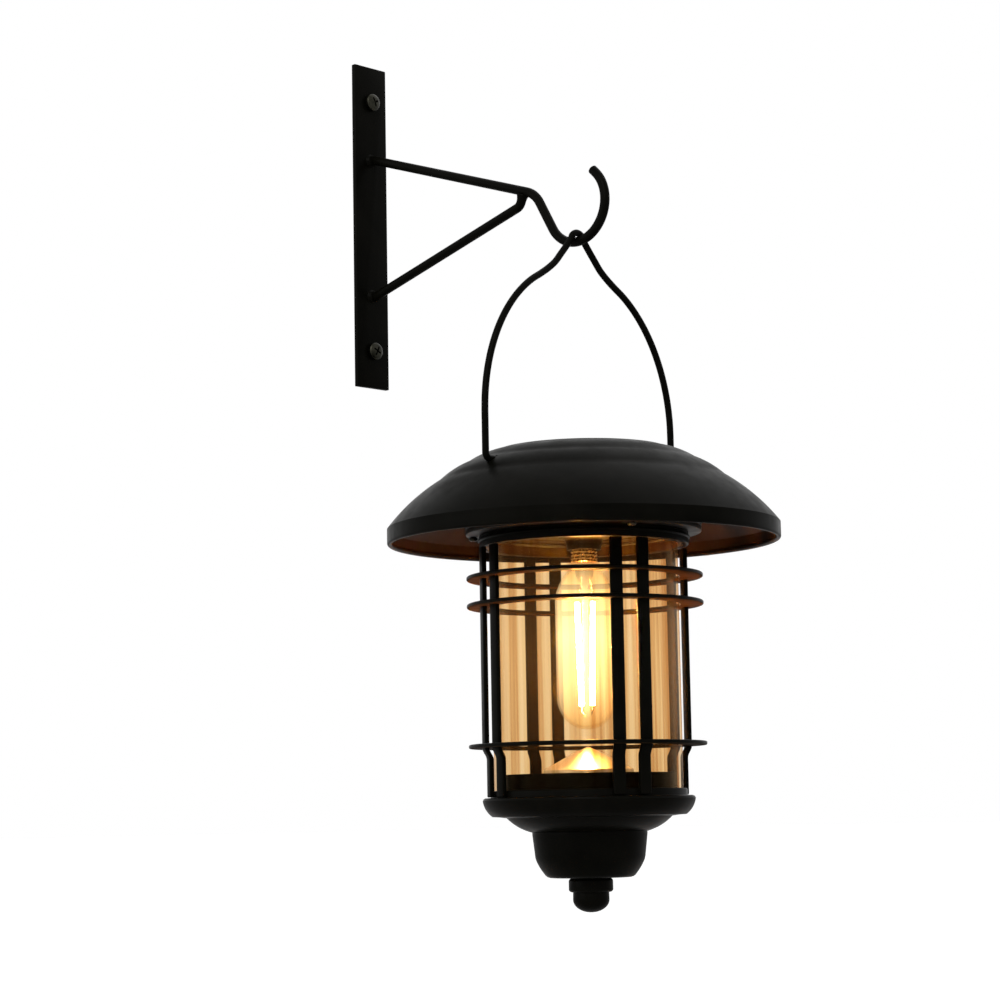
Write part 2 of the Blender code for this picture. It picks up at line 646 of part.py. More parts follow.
def add_hood(parent, rim):
    hood = turned_shell("hood_shell", hood_profile(), HOOD_SHEET, BLACK_PAINT, parent, rim)
    to_bail = Matrix.Rotation(-LANTERN_YAW, 3, "Z")
    for name, side in (("bail_hole_near", -1), ("bail_hole_far", 1)):
        outwards = to_bail @ Vector((0, side, 0))
        lift = Vector((0, 0, PIVOT_HEIGHT))
        inner_end = outwards * (BAIL_HALF_SPAN - BAIL_STUB_LENGTH) + lift
        outer_end = outwards * (BAIL_HALF_SPAN + BAIL_ELBOW_RADIUS) + lift
        hole = cylinder_mesh(name, BAIL_HOLE_RADIUS, inner_end, outer_end, HOLE_STEPS)
        cut(hood, name, hole, parent, rim)


# Bail


def bail_side(side):
    """The wire's middle line on one side, from the foot of the arch to beside the top."""
    turns = [BAIL_ARCH_TURN * i / ARCH_STEPS for i in range(ARCH_STEPS + 1)]
    arch = [
        (BAIL_HALF_SPAN * math.cos(t), BAIL_ARCH_DEPTH - BAIL_ARCH_RISE * math.sin(t)) for t in turns
    ]
    beside_hook = ROD_RADIUS + BAIL_WIRE_RADIUS + BAIL_CROWN_PLAY
    neck = [
        (BAIL_NECK_HALF_WIDTH, BAIL_NECK_DEPTH),
        ((BAIL_NECK_HALF_WIDTH + beside_hook) / 2, BAIL_NECK_MIDDLE_DEPTH),
        (beside_hook, beside_hook / 2),
        (beside_hook / 2, beside_hook / 8),
    ]
    return [Vector((0, side * across, -depth)) for across, depth in [*arch, *neck]]


def bail_end(side):
    """The wire's end, from its tail inside the hood to the top of the elbow."""
    elbow = Vector((0, side * BAIL_HALF_SPAN, -BAIL_HEIGHT))
    leg = elbow + Vector((0, 0, BAIL_LEG_LENGTH))
    stub = elbow - Vector((0, side * BAIL_STUB_LENGTH, 0))
    tail = stub - Vector((0, 0, BAIL_TAIL_LENGTH))
    tail_bend = rounded_corner(tail, stub, elbow, BAIL_TAIL_BEND_RADIUS, BEND_STEPS)
    return [tail, *tail_bend, *rounded_corner(stub, elbow, leg, BAIL_ELBOW_RADIUS, BEND_STEPS)]


def add_bail(parent):
    """One bent wire, whose height counts down from its top."""
    top = Vector((0, 0, 0))
    arch = smooth_through([*bail_side(-1), top, *reversed(bail_side(1))], 2)
    points = [*bail_end(-1), *arch, *reversed(bail_end(1))]
    rod_part("bail", points, BAIL_WIRE_RADIUS, BLACK_PAINT, parent, (0, 0, BAIL_TOP_RISE))


# Solar cap and lamp module


def add_solar_cap(parent, rim):
    flange_under = CAP_TOP - CAP_FLANGE_THICKNESS
    ceiling = CAP_TOP - CAP_TOP_THICKNESS
    skirt_bottom = CAP_TOP - CAP_SKIRT_DEPTH
    profile = [
        (0, CAP_TOP),
        (CAP_FLANGE_RADIUS, CAP_TOP),
        (CAP_FLANGE_RADIUS, flange_under),
        (CAP_RADIUS, flange_under),
        (CAP_RADIUS, skirt_bottom),
        (CAP_RADIUS - CAP_SKIRT_WALL, skirt_bottom),
        (CAP_RADIUS - CAP_SKIRT_WALL, ceiling),
        (0, ceiling),
    ]
    cap = turned_part("solar_cap", profile, BLACK_PLASTIC, parent, rim, closed=False)
    pocket_depth = CELL_THICKNESS + 2 * GAP
    pocket_size = (CELL_POCKET_SIDE, CELL_POCKET_SIDE, 2 * pocket_depth)
    cut(cap, "cell_pocket", box_mesh("cell_pocket", pocket_size, (0, 0, CAP_TOP)), parent, rim)
    cell_centre = (0, 0, CAP_TOP - GAP - CELL_THICKNESS / 2)
    cell = box_mesh("solar_cell", (CELL_SIDE, CELL_SIDE, CELL_THICKNESS), cell_centre)
    place("solar_cell", cell, CELL_BLUE, parent, rim)
    radii = CAP_HOLE_RADIUS + GASKET_SETBACK, CAP_FLANGE_RADIUS - GAP
    bottom = RECESS_HEIGHT + GAP
    ring_part("cap_gasket", *radii, bottom, bottom + GASKET_THICKNESS, RUBBER, parent, rim, SMALL_STEPS)


def screw_places():
    """The lamp plate's screws, evenly round their circle."""
    turns = [2 * math.pi * i / PLATE_SCREW_COUNT for i in range(PLATE_SCREW_COUNT)]
    return [Vector((math.cos(t), math.sin(t), 0)) * PLATE_SCREW_CIRCLE for t in turns]


def cut_screw_holes(obj, parent, rim):
    for i, spot in enumerate(screw_places()):
        name = f"{obj.name}_screw_hole_{i + 1}"
        ends = spot, spot + Vector((0, 0, 2 * LAMP_PLATE_TOP))
        hole = cylinder_mesh(name, PLATE_SCREW_SHANK_RADIUS + GAP, *ends, SCREW_STEPS)
        cut(obj, name, hole, parent, rim)


def add_tub(parent, rim):
    """The plastic tub that the cap screws into, with a flange for the lamp plate."""
    top = RECESS_HEIGHT - HOOD_SHEET - GAP
    profile = [
        (CAP_HOLE_RADIUS, top),
        (TUB_RADIUS, top),
        (TUB_RADIUS, MODULE_SEAT + FLANGE_THICKNESS),
        (FLANGE_RADIUS, MODULE_SEAT + FLANGE_THICKNESS),
        (FLANGE_RADIUS, MODULE_SEAT),
        (TUB_INNER_RADIUS, MODULE_SEAT),
        (TUB_INNER_RADIUS, top - TUB_CEILING),
        (CAP_HOLE_RADIUS, top - TUB_CEILING),
    ]
    tub = turned_part("module_tub", profile, BLACK_PLASTIC, parent, rim)
    cut_screw_holes(tub, parent, rim)


def slot_outline():
    """A bayonet slot, as (along the wall, height): in from below, then along to the rest place."""
    half = PIN_RADIUS + SLOT_PLAY
    reach = SPIGOT_RADIUS * math.sin(TWIST_ANGLE / 2)
    level = LAMP_PLATE_UNDERSIDE - PIN_DROP
    below = SPIGOT_BOTTOM - SPIGOT_WALL
    return [
        (-reach - half, level + half),
        (-reach - half, level - half),
        (reach - half, level - half),
        (reach - half, below),
        (reach + half, below),
        (reach + half, level + half),
    ]


def pin_angles():
    return [PIN_FIRST_ANGLE + 2 * math.pi * i / PIN_COUNT for i in range(PIN_COUNT)]


def add_lamp_plate(parent, rim):
    socket_hole = SOCKET_RADIUS + GAP
    profile = [
        (socket_hole, LAMP_PLATE_TOP),
        (FLANGE_RADIUS, LAMP_PLATE_TOP),
        (FLANGE_RADIUS, LAMP_PLATE_UNDERSIDE),
        (SPIGOT_RADIUS, LAMP_PLATE_UNDERSIDE),
        (SPIGOT_RADIUS, SPIGOT_BOTTOM),
        (SPIGOT_INNER_RADIUS, SPIGOT_BOTTOM),
        (SPIGOT_INNER_RADIUS, LAMP_PLATE_UNDERSIDE),
        (socket_hole, LAMP_PLATE_UNDERSIDE),
    ]
    plate = turned_part("lamp_plate", profile, BLACK_PLASTIC, parent, rim, FIT_STEPS)
    cut_screw_holes(plate, parent, rim)
    for i, angle in enumerate(pin_angles()):
        name = f"bayonet_slot_{i + 1}"
        slot = plate_mesh(name, slot_outline(), 4 * SPIGOT_WALL)
        slot.transform(Matrix.Translation((0, -SPIGOT_RADIUS, 0)))
        slot.transform(Matrix.Rotation(math.pi / 2 + angle + TWIST_ANGLE / 2, 4, "Z"))
        cut(plate, name, slot, parent, rim)
    ends = SWITCH_PLACE, SWITCH_PLACE + Vector((0, 0, 2 * LAMP_PLATE_TOP))
    hole = cylinder_mesh("button_hole", BUTTON_RADIUS + GAP, *ends)
    cut(plate, "button_hole", hole, parent, rim)


def add_lamp_plate_screws(parent, rim):
    head_top = LAMP_PLATE_UNDERSIDE - GAP
    shank_top = MODULE_SEAT + FLANGE_THICKNESS
    profile = [
        (0, shank_top),
        (PLATE_SCREW_SHANK_RADIUS, shank_top),
        (PLATE_SCREW_SHANK_RADIUS, head_top),
        (PLATE_SCREW_HEAD_RADIUS, head_top),
        (PLATE_SCREW_HEAD_RADIUS, head_top - PLATE_SCREW_HEAD_HEIGHT / 2),
        (PLATE_SCREW_SHANK_RADIUS, head_top - PLATE_SCREW_HEAD_HEIGHT),
        (0, head_top - PLATE_SCREW_HEAD_HEIGHT),
    ]
    for i, spot in enumerate(screw_places()):
        seat = Vector(rim) + spot
        turned_part(f"lamp_plate_screw_{i + 1}", profile, STEEL, parent, seat, SCREW_STEPS, closed=False)


def add_battery(parent, rim):
    """The cell in its holder, which straddles the bulb's socket on the lamp plate."""
    top = BAY_FLOOR + HOLDER_BAY_DEPTH
    size = (HOLDER_LENGTH, HOLDER_WIDTH, top - MODULE_SEAT)
    mesh = box_mesh("battery_holder", size, (0, 0, (top + MODULE_SEAT) / 2))
    holder = place("battery_holder", mesh, BLACK_PLASTIC, parent, rim)
    bay = box_mesh("battery_bay", (BAY_LENGTH, BAY_WIDTH, 2 * HOLDER_BAY_DEPTH), (0, 0, top))
    cut(holder, "battery_bay", bay, parent, rim)
    arch_size = (BAY_LENGTH, 2 * HOLDER_WIDTH, 2 * (HOLDER_ARCH - MODULE_SEAT))
    cut(holder, "holder_arch", box_mesh("holder_arch", arch_size, (0, 0, MODULE_SEAT)), parent, rim)
    half = BATTERY_LENGTH / 2
    ends = (-half, 0, BATTERY_AXIS), (half, 0, BATTERY_AXIS)
    place("battery", cylinder_mesh("battery", BATTERY_RADIUS, *ends), BATTERY_WRAP, parent, rim)
    contact_size = (CONTACT_THICKNESS, CONTACT_SIDE, CONTACT_SIDE)
    for name, side in (("contact_positive", 1), ("contact_negative", -1)):
        centre = (side * (half + GAP + CONTACT_THICKNESS / 2), 0, BATTERY_AXIS)
        place(name, box_mesh(name, contact_size, centre), STEEL, parent, rim)


def add_board_and_switch(parent, rim):
    board_size = (BOARD_LENGTH, BOARD_WIDTH, BOARD_THICKNESS)
    board_centre = (0, -BOARD_OFFSET, MODULE_SEAT + BOARD_THICKNESS / 2)
    place("circuit_board", box_mesh("circuit_board", board_size, board_centre), BOARD_GREEN, parent, rim)
    body_size = (SWITCH_BODY_SIDE, SWITCH_BODY_SIDE, SWITCH_BODY_HEIGHT)
    body_centre = SWITCH_PLACE + Vector((0, 0, MODULE_SEAT + SWITCH_BODY_HEIGHT / 2))
    body = place("switch_body", box_mesh("switch_body", body_size, body_centre), BLACK_PLASTIC, parent, rim)
    bore_top = LAMP_PLATE_UNDERSIDE + BUTTON_STEM_LENGTH + 2 * BUTTON_TRAVEL
    ends = SWITCH_PLACE, SWITCH_PLACE + Vector((0, 0, bore_top))
    bore = cylinder_mesh("switch_bore", BUTTON_STEM_RADIUS + GAP, *ends, HOLE_STEPS)
    cut(body, "switch_bore", bore, parent, rim)


def add_switch_button(parent, rim):
    """The button, with its origin on the line that it is pressed along."""
    head_top = LAMP_PLATE_TOP - BUTTON_TRAVEL
    bottom = LAMP_PLATE_UNDERSIDE - BUTTON_PROUD
    stem_top = LAMP_PLATE_UNDERSIDE + BUTTON_STEM_LENGTH
    profile = [
        (0, stem_top),
        (BUTTON_STEM_RADIUS, stem_top),
        (BUTTON_STEM_RADIUS, head_top),
        (BUTTON_RADIUS, head_top),
        (BUTTON_RADIUS, bottom + BUTTON_EDGE),
        (BUTTON_RADIUS - BUTTON_EDGE, bottom),
        (0, bottom),
    ]
    place_at = Vector(rim) + SWITCH_PLACE
    turned_part("switch_button", profile, BLACK_PLASTIC, parent, place_at, SMALL_STEPS, closed=False)


# Bulb


def add_bulb_holder(parent, rim):
    flange_top = LAMP_PLATE_UNDERSIDE - GAP
    flange_bottom = flange_top - SOCKET_FLANGE_THICKNESS
    mouth = LAMP_PLATE_UNDERSIDE - SOCKET_BELOW_PLATE
    socket = [
        (0, SOCKET_BORE_TOP + SOCKET_ROOF),
        (SOCKET_RADIUS, SOCKET_BORE_TOP + SOCKET_ROOF),
        (SOCKET_RADIUS, flange_top),
        (SOCKET_RADIUS + SOCKET_FLANGE_WIDTH, flange_top),
        (SOCKET_RADIUS + SOCKET_FLANGE_WIDTH, flange_bottom),
        (SOCKET_RADIUS, flange_bottom - SOCKET_FLANGE_FILLET),
        (SOCKET_RADIUS - SOCKET_MOUTH_TAPER, mouth),
        (SOCKET_INNER_RADIUS, mouth),
        (SOCKET_INNER_RADIUS, SOCKET_BORE_TOP),
        (0, SOCKET_BORE_TOP),
    ]
    turned_part("bulb_holder", socket, BLACK_PLASTIC, parent, rim, SMALL_STEPS, closed=False)


def add_bulb(parent, rim):
    cap = [
        (0, BULB_CAP_TOP),
        (BULB_CAP_EYELET_RADIUS, BULB_CAP_TOP),
        (BULB_CAP_RADIUS, BULB_CAP_TOP - BULB_CAP_TAPER),
        (BULB_CAP_RADIUS, BULB_CAP_TOP - BULB_CAP_LENGTH),
        (0, BULB_CAP_TOP - BULB_CAP_LENGTH),
    ]
    turned_part("bulb_cap", cap, BRASS, parent, rim, SMALL_STEPS, closed=False)
    neck_radius = BULB_CAP_RADIUS - BULB_NECK_STEP
    neck = (neck_radius, BULB_TOP - BULB_NECK_LENGTH)
    shoulder = (BULB_RADIUS, BULB_TOP - BULB_SHOULDER)
    nose_top = BULB_BOTTOM + BULB_NOSE
    turns = [math.pi / 2 * i / 5 for i in range(5)]
    envelope = [
        (neck_radius, BULB_TOP),
        neck,
        *bulge(neck, shoulder, BULB_SHOULDER_BULGE, 3),
        *[(BULB_RADIUS * math.cos(t), nose_top - BULB_NOSE * math.sin(t)) for t in turns],
        (0, BULB_BOTTOM),
    ]
    turned_shell("bulb_glass", envelope, BULB_WALL, BULB_GLASS, parent, rim, SMALL_STEPS)
    add_filaments(parent, rim, neck_radius - BULB_WALL - STEM_CLEARANCE)


def add_filaments(parent, rim, stem_radius):
    """The glass stem in the bulb's neck, and the two filaments that stand off it."""
    stem_foot = BULB_BOTTOM + STEM_NOSE_CLEARANCE
    rod_start = BULB_TOP - STEM_ROOT_LENGTH
    stem = [
        (0, BULB_TOP),
        (stem_radius, BULB_TOP),
        (stem_radius, BULB_TOP - STEM_SHOULDER),
        (STEM_ROD_RADIUS, rod_start),
        (STEM_ROD_RADIUS, stem_foot),
        (0, stem_foot - STEM_ROD_RADIUS),
    ]
    turned_part("bulb_stem", stem, BULB_GLASS, parent, rim, HOLE_STEPS, closed=False)
    near_rod = STEM_ROD_RADIUS + FILAMENT_LEAD_RADIUS + GAP
    lead = FILAMENT_LEAD_RADIUS / FILAMENT_RADIUS
    shape = [
        (near_rod, rod_start - FILAMENT_LEAD_RISE, lead),
        (FILAMENT_SPREAD_TOP, rod_start - 2 * FILAMENT_LEAD_RISE, lead),
        (FILAMENT_SPREAD_TOP, rod_start - 3 * FILAMENT_LEAD_RISE, 1),
        (FILAMENT_SPREAD_BOTTOM, stem_foot + 2 * FILAMENT_LEAD_RISE, 1),
        (FILAMENT_SPREAD_BOTTOM, stem_foot + FILAMENT_LEAD_RISE, lead),
        (near_rod, stem_foot, lead),
    ]
    for i in range(2):
        turn = FILAMENT_ANGLE + math.pi * i
        points = [(r * math.cos(turn), r * math.sin(turn), z) for r, z, _ in shape]
        widths = [width for _, _, width in shape]
        name = f"led_filament_{i + 1}"
        rod_part(name, points, FILAMENT_RADIUS, FILAMENT, parent, rim, widths, sides=1)


# Cage


def add_collar(axis):
    radii = COLLAR_INNER_RADIUS, COLLAR_RADIUS
    collar = ring_part(
        "cage_collar", *radii, COLLAR_BOTTOM, COLLAR_TOP, BLACK_PAINT, axis, steps=FIT_STEPS
    )
    level = LAMP_PLATE_UNDERSIDE - PIN_DROP
    inner_end = SPIGOT_RADIUS - PIN_REACH
    outer_end = COLLAR_INNER_RADIUS + COLLAR_WALL / 2
    for i, angle in enumerate(pin_angles()):
        name = f"bayonet_pin_{i + 1}"
        outwards = Vector((math.cos(angle), math.sin(angle), 0))
        lift = Vector((0, 0, level))
        ends = outwards * inner_end + lift, outwards * outer_end + lift
        cut(collar, name, cylinder_mesh(name, PIN_RADIUS, *ends, SCREW_STEPS), axis, operation="UNION")


def bar_outline():
    """A bar's side view, as (radius, height): it steps in below the lower ring."""
    joggle_top = LOWER_RING - RING_THICKNESS
    inner = [
        (BAR_HEAD_RADIUS, COLLAR_BOTTOM - GAP),
        (BAR_HEAD_RADIUS, joggle_top),
        (BAR_FOOT_RADIUS, joggle_top - BAR_JOGGLE_LENGTH),
        (BAR_FOOT_RADIUS, TRAY_LEDGE + GAP),
    ]
    return [*inner, *[(radius + BAR_THICKNESS, height) for radius, height in reversed(inner)]]


def bar_turns():
    """The bars' places round the axis, in pairs."""
    middles = [2 * math.pi * pair / BAR_PAIRS for pair in range(BAR_PAIRS)]
    return [middle + side * BAR_PAIR_HALF_ANGLE for middle in middles for side in (-1, 1)]


def add_bars(axis):
    for i, turn in enumerate(bar_turns()):
        name = f"cage_bar_{i + 1}"
        mesh = plate_mesh(name, bar_outline(), BAR_WIDTH)
        mesh.transform(Matrix.Rotation(turn, 4, "Z"))
        place(name, mesh, BLACK_PAINT, axis)


def add_rings(axis):
    """Flat rings round the glass, with a slot for each bar."""
    heights = {"upper": -UPPER_RING_DROP, "middle": -MIDDLE_RING_DROP, "lower": LOWER_RING}
    slot = (BAR_THICKNESS + 2 * GAP, BAR_WIDTH + 2 * GAP, 2 * RING_THICKNESS)
    for name, height in heights.items():
        radii = GLASS_RADIUS + RING_PLAY, RING_RADIUS
        bottom, top = height - RING_THICKNESS / 2, height + RING_THICKNESS / 2
        ring = ring_part(f"cage_ring_{name}", *radii, bottom, top, BLACK_PAINT, axis)
        middle = (BAR_HEAD_RADIUS + BAR_THICKNESS / 2, 0, height)
        for i, turn in enumerate(bar_turns()):
            slot_name = f"{name}_ring_slot_{i + 1}"
            cut(ring, slot_name, box_mesh(slot_name, slot, middle, turn), axis)


def add_glass(axis):
    inner = GLASS_RADIUS - GLASS_WALL
    seal_top = LAMP_PLATE_UNDERSIDE - GAP
    top = seal_top - SEAL_THICKNESS - GAP
    seal_bottom = GROOVE_FLOOR + GAP
    bottom = seal_bottom + SEAL_THICKNESS + GAP
    radii = inner, GLASS_RADIUS
    ring_part("glass_tube", *radii, bottom, top, CLEAR_GLASS, axis)
    ring_part("glass_seal_top", *radii, top + GAP, seal_top, RUBBER, axis)
    ring_part("glass_seal_bottom", *radii, seal_bottom, bottom - GAP, RUBBER, axis)


# Base


def add_tray(axis):
    """The stepped tray: floor, groove for the glass, lip, ledge for the bars, rim and foot."""
    lip_top = TRAY_LEDGE + TRAY_LIP_HEIGHT
    rim = (TRAY_RIM_RADIUS, TRAY_LEDGE - TRAY_RIM_CHAMFER)
    step = (TRAY_RIM_RADIUS - TRAY_STEP_INSET, TRAY_LEDGE - TRAY_STEP_DROP)
    shoulder = (TRAY_RIM_RADIUS - TRAY_SHOULDER_INSET, step[1] + TRAY_STEP_SLOPE)
    foot = (CUP_RADIUS + GAP, TRAY_FOOT)
    foot_bore = CUP_RADIUS - CUP_WALL
    floor = [
        (STUD_HOLE_RADIUS, TRAY_FLOOR),
        (GROOVE_INNER_RADIUS, TRAY_FLOOR),
        (GROOVE_INNER_RADIUS, GROOVE_FLOOR),
        (GROOVE_OUTER_RADIUS, GROOVE_FLOOR),
        (GROOVE_OUTER_RADIUS, lip_top),
        (TRAY_LIP_RADIUS, lip_top),
    ]
    outside = [
        (TRAY_LIP_RADIUS, TRAY_LEDGE),
        (TRAY_RIM_RADIUS - TRAY_RIM_CHAMFER, TRAY_LEDGE),
        rim,
        *bulge(rim, shoulder, TRAY_BULGE, 2),
        step,
        *bulge(step, foot, TRAY_BULGE, 2),
        (foot_bore, TRAY_FOOT),
    ]
    inside = [
        (foot_bore, TRAY_FOOT + TRAY_SHEET),
        (foot[0], TRAY_FOOT + TRAY_SHEET),
        (step[0] - 2 * TRAY_SHEET, step[1]),
        (shoulder[0] - TRAY_SHEET, shoulder[1] + TRAY_SHEET),
        (GROOVE_OUTER_RADIUS, GROOVE_FLOOR - TRAY_SHEET),
        (GROOVE_INNER_RADIUS - TRAY_SHEET, GROOVE_FLOOR - TRAY_SHEET),
        (GROOVE_INNER_RADIUS - TRAY_SHEET, TRAY_FLOOR - TRAY_SHEET),
        (STUD_HOLE_RADIUS, TRAY_FLOOR - TRAY_SHEET),
    ]
    turned_part("base_tray", [*floor, *outside, *inside], BLACK_PAINT, axis)


def add_cup(axis):
    belly = (CUP_BELLY_RADIUS, CUP_TOP - CUP_BELLY_DEPTH)
    foot = (CUP_FOOT_RADIUS, CUP_FLOOR)
    outside = [(CUP_RADIUS, CUP_TOP), belly, *bulge(belly, foot, CUP_BULGE, 3)]
    profile = [*outside, (STUD_HOLE_RADIUS, CUP_FLOOR)]
    inside = [
        (STUD_HOLE_RADIUS, CUP_FLOOR + CUP_WALL),
        (CUP_FOOT_RADIUS - CUP_WALL / 2, CUP_FLOOR + CUP_WALL),
        (CUP_BELLY_RADIUS - CUP_WALL, belly[1]),
        (CUP_RADIUS - CUP_WALL, CUP_TOP),
    ]
    turned_part("base_cup", [*profile, *inside], BLACK_PAINT, axis)


def add_reflector(axis):
    bottom = TRAY_FLOOR + GAP
    top = bottom + REFLECTOR_HEIGHT
    profile = [
        (0, top),
        *bulge((0, top), (REFLECTOR_RADIUS, bottom + REFLECTOR_LIP), REFLECTOR_BULGE, 2),
        (REFLECTOR_RADIUS, bottom),
    ]
    turned_shell("base_reflector", profile, REFLECTOR_SHEET, MIRROR_METAL, axis)


def add_stud_and_finial(axis):
    nut_bottom = TRAY_FLOOR + GAP
    nut = [
        (NUT_RADIUS, nut_bottom + NUT_HEIGHT),
        (NUT_RADIUS, nut_bottom),
        (STUD_HOLE_RADIUS, nut_bottom),
        (STUD_HOLE_RADIUS, nut_bottom + NUT_HEIGHT),
    ]
    turned_part("base_nut", nut, STEEL, axis, steps=SMALL_STEPS)
    stud_top = nut_bottom + NUT_HEIGHT + STUD_ABOVE_NUT
    stud_bottom = KNOB_TOP - KNOB_BORE_DEPTH + GAP
    stud = cylinder_mesh("base_stud", STUD_RADIUS, (0, 0, stud_bottom), (0, 0, stud_top))
    place("base_stud", stud, STEEL, axis)
    collar_bottom = FINIAL_TOP - FINIAL_COLLAR_HEIGHT
    collar = [
        (FINIAL_COLLAR_RADIUS - FINIAL_CHAMFER, FINIAL_TOP),
        (FINIAL_COLLAR_RADIUS, FINIAL_TOP - FINIAL_CHAMFER),
        (FINIAL_COLLAR_RADIUS, collar_bottom + FINIAL_CHAMFER),
        (FINIAL_COLLAR_RADIUS - FINIAL_CHAMFER, collar_bottom),
        (STUD_HOLE_RADIUS, collar_bottom),
        (STUD_HOLE_RADIUS, FINIAL_TOP),
    ]
    turned_part("finial_collar", collar, BLACK_PAINT, axis)
    waist = KNOB_TOP - KNOB_WAIST
    below = KNOB_HEIGHT - KNOB_WAIST
    turns = [math.pi / 2 * i / 4 for i in range(4)]
    knob = [
        (KNOB_TOP_RADIUS, KNOB_TOP),
        *[(KNOB_RADIUS * math.cos(t), waist - below * math.sin(t)) for t in turns],
        (0, KNOB_TOP - KNOB_HEIGHT),
    ]
    bore = [
        (0, KNOB_TOP - KNOB_BORE_DEPTH),
        (STUD_HOLE_RADIUS, KNOB_TOP - KNOB_BORE_DEPTH),
        (STUD_HOLE_RADIUS, KNOB_TOP),
    ]
    turned_part("finial_knob", [*bore, *knob], BLACK_PAINT, axis, closed=False)


def build_bracket():
    add_wall_plate()
    add_wall_screw("wall_screw_upper", WALL_SCREW_HEIGHT)
    add_wall_screw("wall_screw_lower", -WALL_SCREW_HEIGHT)
    add_arm_rod()
    add_brace_rod()


def build_head(bail_axis):
    """Everything that swings on the bail's feet. Its heights count from the hood's lower edge."""
    rim = (0, 0, -PIVOT_HEIGHT)
    add_hood(bail_axis, rim)
    add_solar_cap(bail_axis, rim)
    add_tub(bail_axis, rim)
    add_lamp_plate(bail_axis, rim)
    add_lamp_plate_screws(bail_axis, rim)
    add_battery(bail_axis, rim)
    add_board_and_switch(bail_axis, rim)
    add_switch_button(bail_axis, rim)
    add_bulb_holder(bail_axis, rim)
    add_bulb(bail_axis, rim)


def build_cage(cage_axis):
    """Everything that twists off below the hood."""
    add_collar(cage_axis)
    add_bars(cage_axis)
    add_rings(cage_axis)
    add_glass(cage_axis)
    add_tray(cage_axis)
    add_cup(cage_axis)
    add_reflector(cage_axis)
    add_stud_and_finial(cage_axis)


build_bracket()
hook_axis = add_empty("hook_axis", HOOK_POINT)
add_bail(hook_axis)
pivot_drop = BAIL_HEIGHT - BAIL_TOP_RISE
bail_axis = add_empty("bail_axis", (0, 0, -pivot_drop), hook_axis, LANTERN_YAW)
build_head(bail_axis)
build_cage(add_empty("cage_axis", (0, 0, -PIVOT_HEIGHT), bail_axis))
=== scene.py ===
import math

import bpy
from mathutils import Matrix, Vector


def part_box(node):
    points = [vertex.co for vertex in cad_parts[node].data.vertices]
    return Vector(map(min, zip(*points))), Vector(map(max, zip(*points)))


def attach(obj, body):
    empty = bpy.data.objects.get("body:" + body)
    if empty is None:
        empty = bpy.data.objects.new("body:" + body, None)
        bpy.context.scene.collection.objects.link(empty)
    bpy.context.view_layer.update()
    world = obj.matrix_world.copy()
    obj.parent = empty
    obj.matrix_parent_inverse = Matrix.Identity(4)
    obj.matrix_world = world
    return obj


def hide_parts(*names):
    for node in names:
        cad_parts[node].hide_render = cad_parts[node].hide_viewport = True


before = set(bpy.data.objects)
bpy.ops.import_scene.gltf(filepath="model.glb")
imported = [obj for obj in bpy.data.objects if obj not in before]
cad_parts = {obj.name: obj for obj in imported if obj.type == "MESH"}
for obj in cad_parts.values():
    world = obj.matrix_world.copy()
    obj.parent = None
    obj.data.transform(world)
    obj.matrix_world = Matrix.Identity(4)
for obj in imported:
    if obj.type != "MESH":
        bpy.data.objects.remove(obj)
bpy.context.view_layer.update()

# In metres
MM = 0.001
MERGE_GAP = 0.000002

# Sizes below are in millimetres, and heights of the lantern count from the rim of its hood.
AXIS = 134.5
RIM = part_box("hood_shell")[0].z / MM
LANTERN_YAW = math.radians(-23)
TURN_STEPS = 144
SMALL_STEPS = 64


# Modelling by hand


def start_piece(name, place):
    """A new piece that is one vertex, left in edit mode: a small square drawn together."""
    bpy.ops.object.select_all(action="DESELECT")
    bpy.ops.mesh.primitive_plane_add(size=MM, location=(0, 0, 0))
    piece = bpy.context.object
    piece.name = piece.data.name = name
    bpy.ops.object.mode_set(mode="EDIT")
    bpy.ops.mesh.select_all(action="SELECT")
    bpy.ops.mesh.merge(type="CENTER")
    bpy.ops.transform.translate(value=place * MM)
    return piece


def draw_through(points):
    """Pulls the selected vertex out from point to point."""
    for here, there in zip(points, points[1:]):
        bpy.ops.mesh.extrude_region_move(TRANSFORM_OT_translate={"value": (there - here) * MM})


def close_up():
    """Merges doubles, turns the faces outwards and leaves edit mode."""
    bpy.ops.mesh.select_all(action="SELECT")
    bpy.ops.mesh.remove_doubles(threshold=MERGE_GAP)
    bpy.ops.mesh.delete_loose(use_verts=True, use_edges=True, use_faces=False)
    bpy.ops.mesh.select_all(action="SELECT")
    bpy.ops.mesh.normals_make_consistent(inside=False)
    bpy.ops.object.mode_set(mode="OBJECT")


def turned(name, profile, steps=TURN_STEPS, closed=True, centre=(AXIS, 0)):
    """Spins a profile of (radius, height) about an upright line."""
    points = [Vector((centre[0] + r, centre[1], RIM + z)) for r, z in profile]
    if closed:
        points.append(points[0])
    piece = start_piece(name, points[0])
    draw_through(points)
    bpy.ops.mesh.select_all(action="SELECT")
    middle = Vector((*centre, 0)) * MM
    bpy.ops.mesh.spin(steps=steps, angle=math.tau, center=middle, axis=(0, 0, 1))
    close_up()
    return piece


def rod(name, points, radius, roundness=10):
    """A round rod along the points, with flat ends."""
    piece = start_piece(name, points[0])
    draw_through(points)
    bpy.ops.object.mode_set(mode="OBJECT")
    bpy.ops.object.convert(target="CURVE")
    line = bpy.context.object
    line.data.bevel_depth = radius * MM
    line.data.bevel_resolution = roundness
    line.data.use_fill_caps = True
    bpy.ops.object.convert(target="MESH")
    piece = bpy.context.object
    piece.data.name = name
    bpy.ops.object.mode_set(mode="EDIT")
    close_up()
    return piece


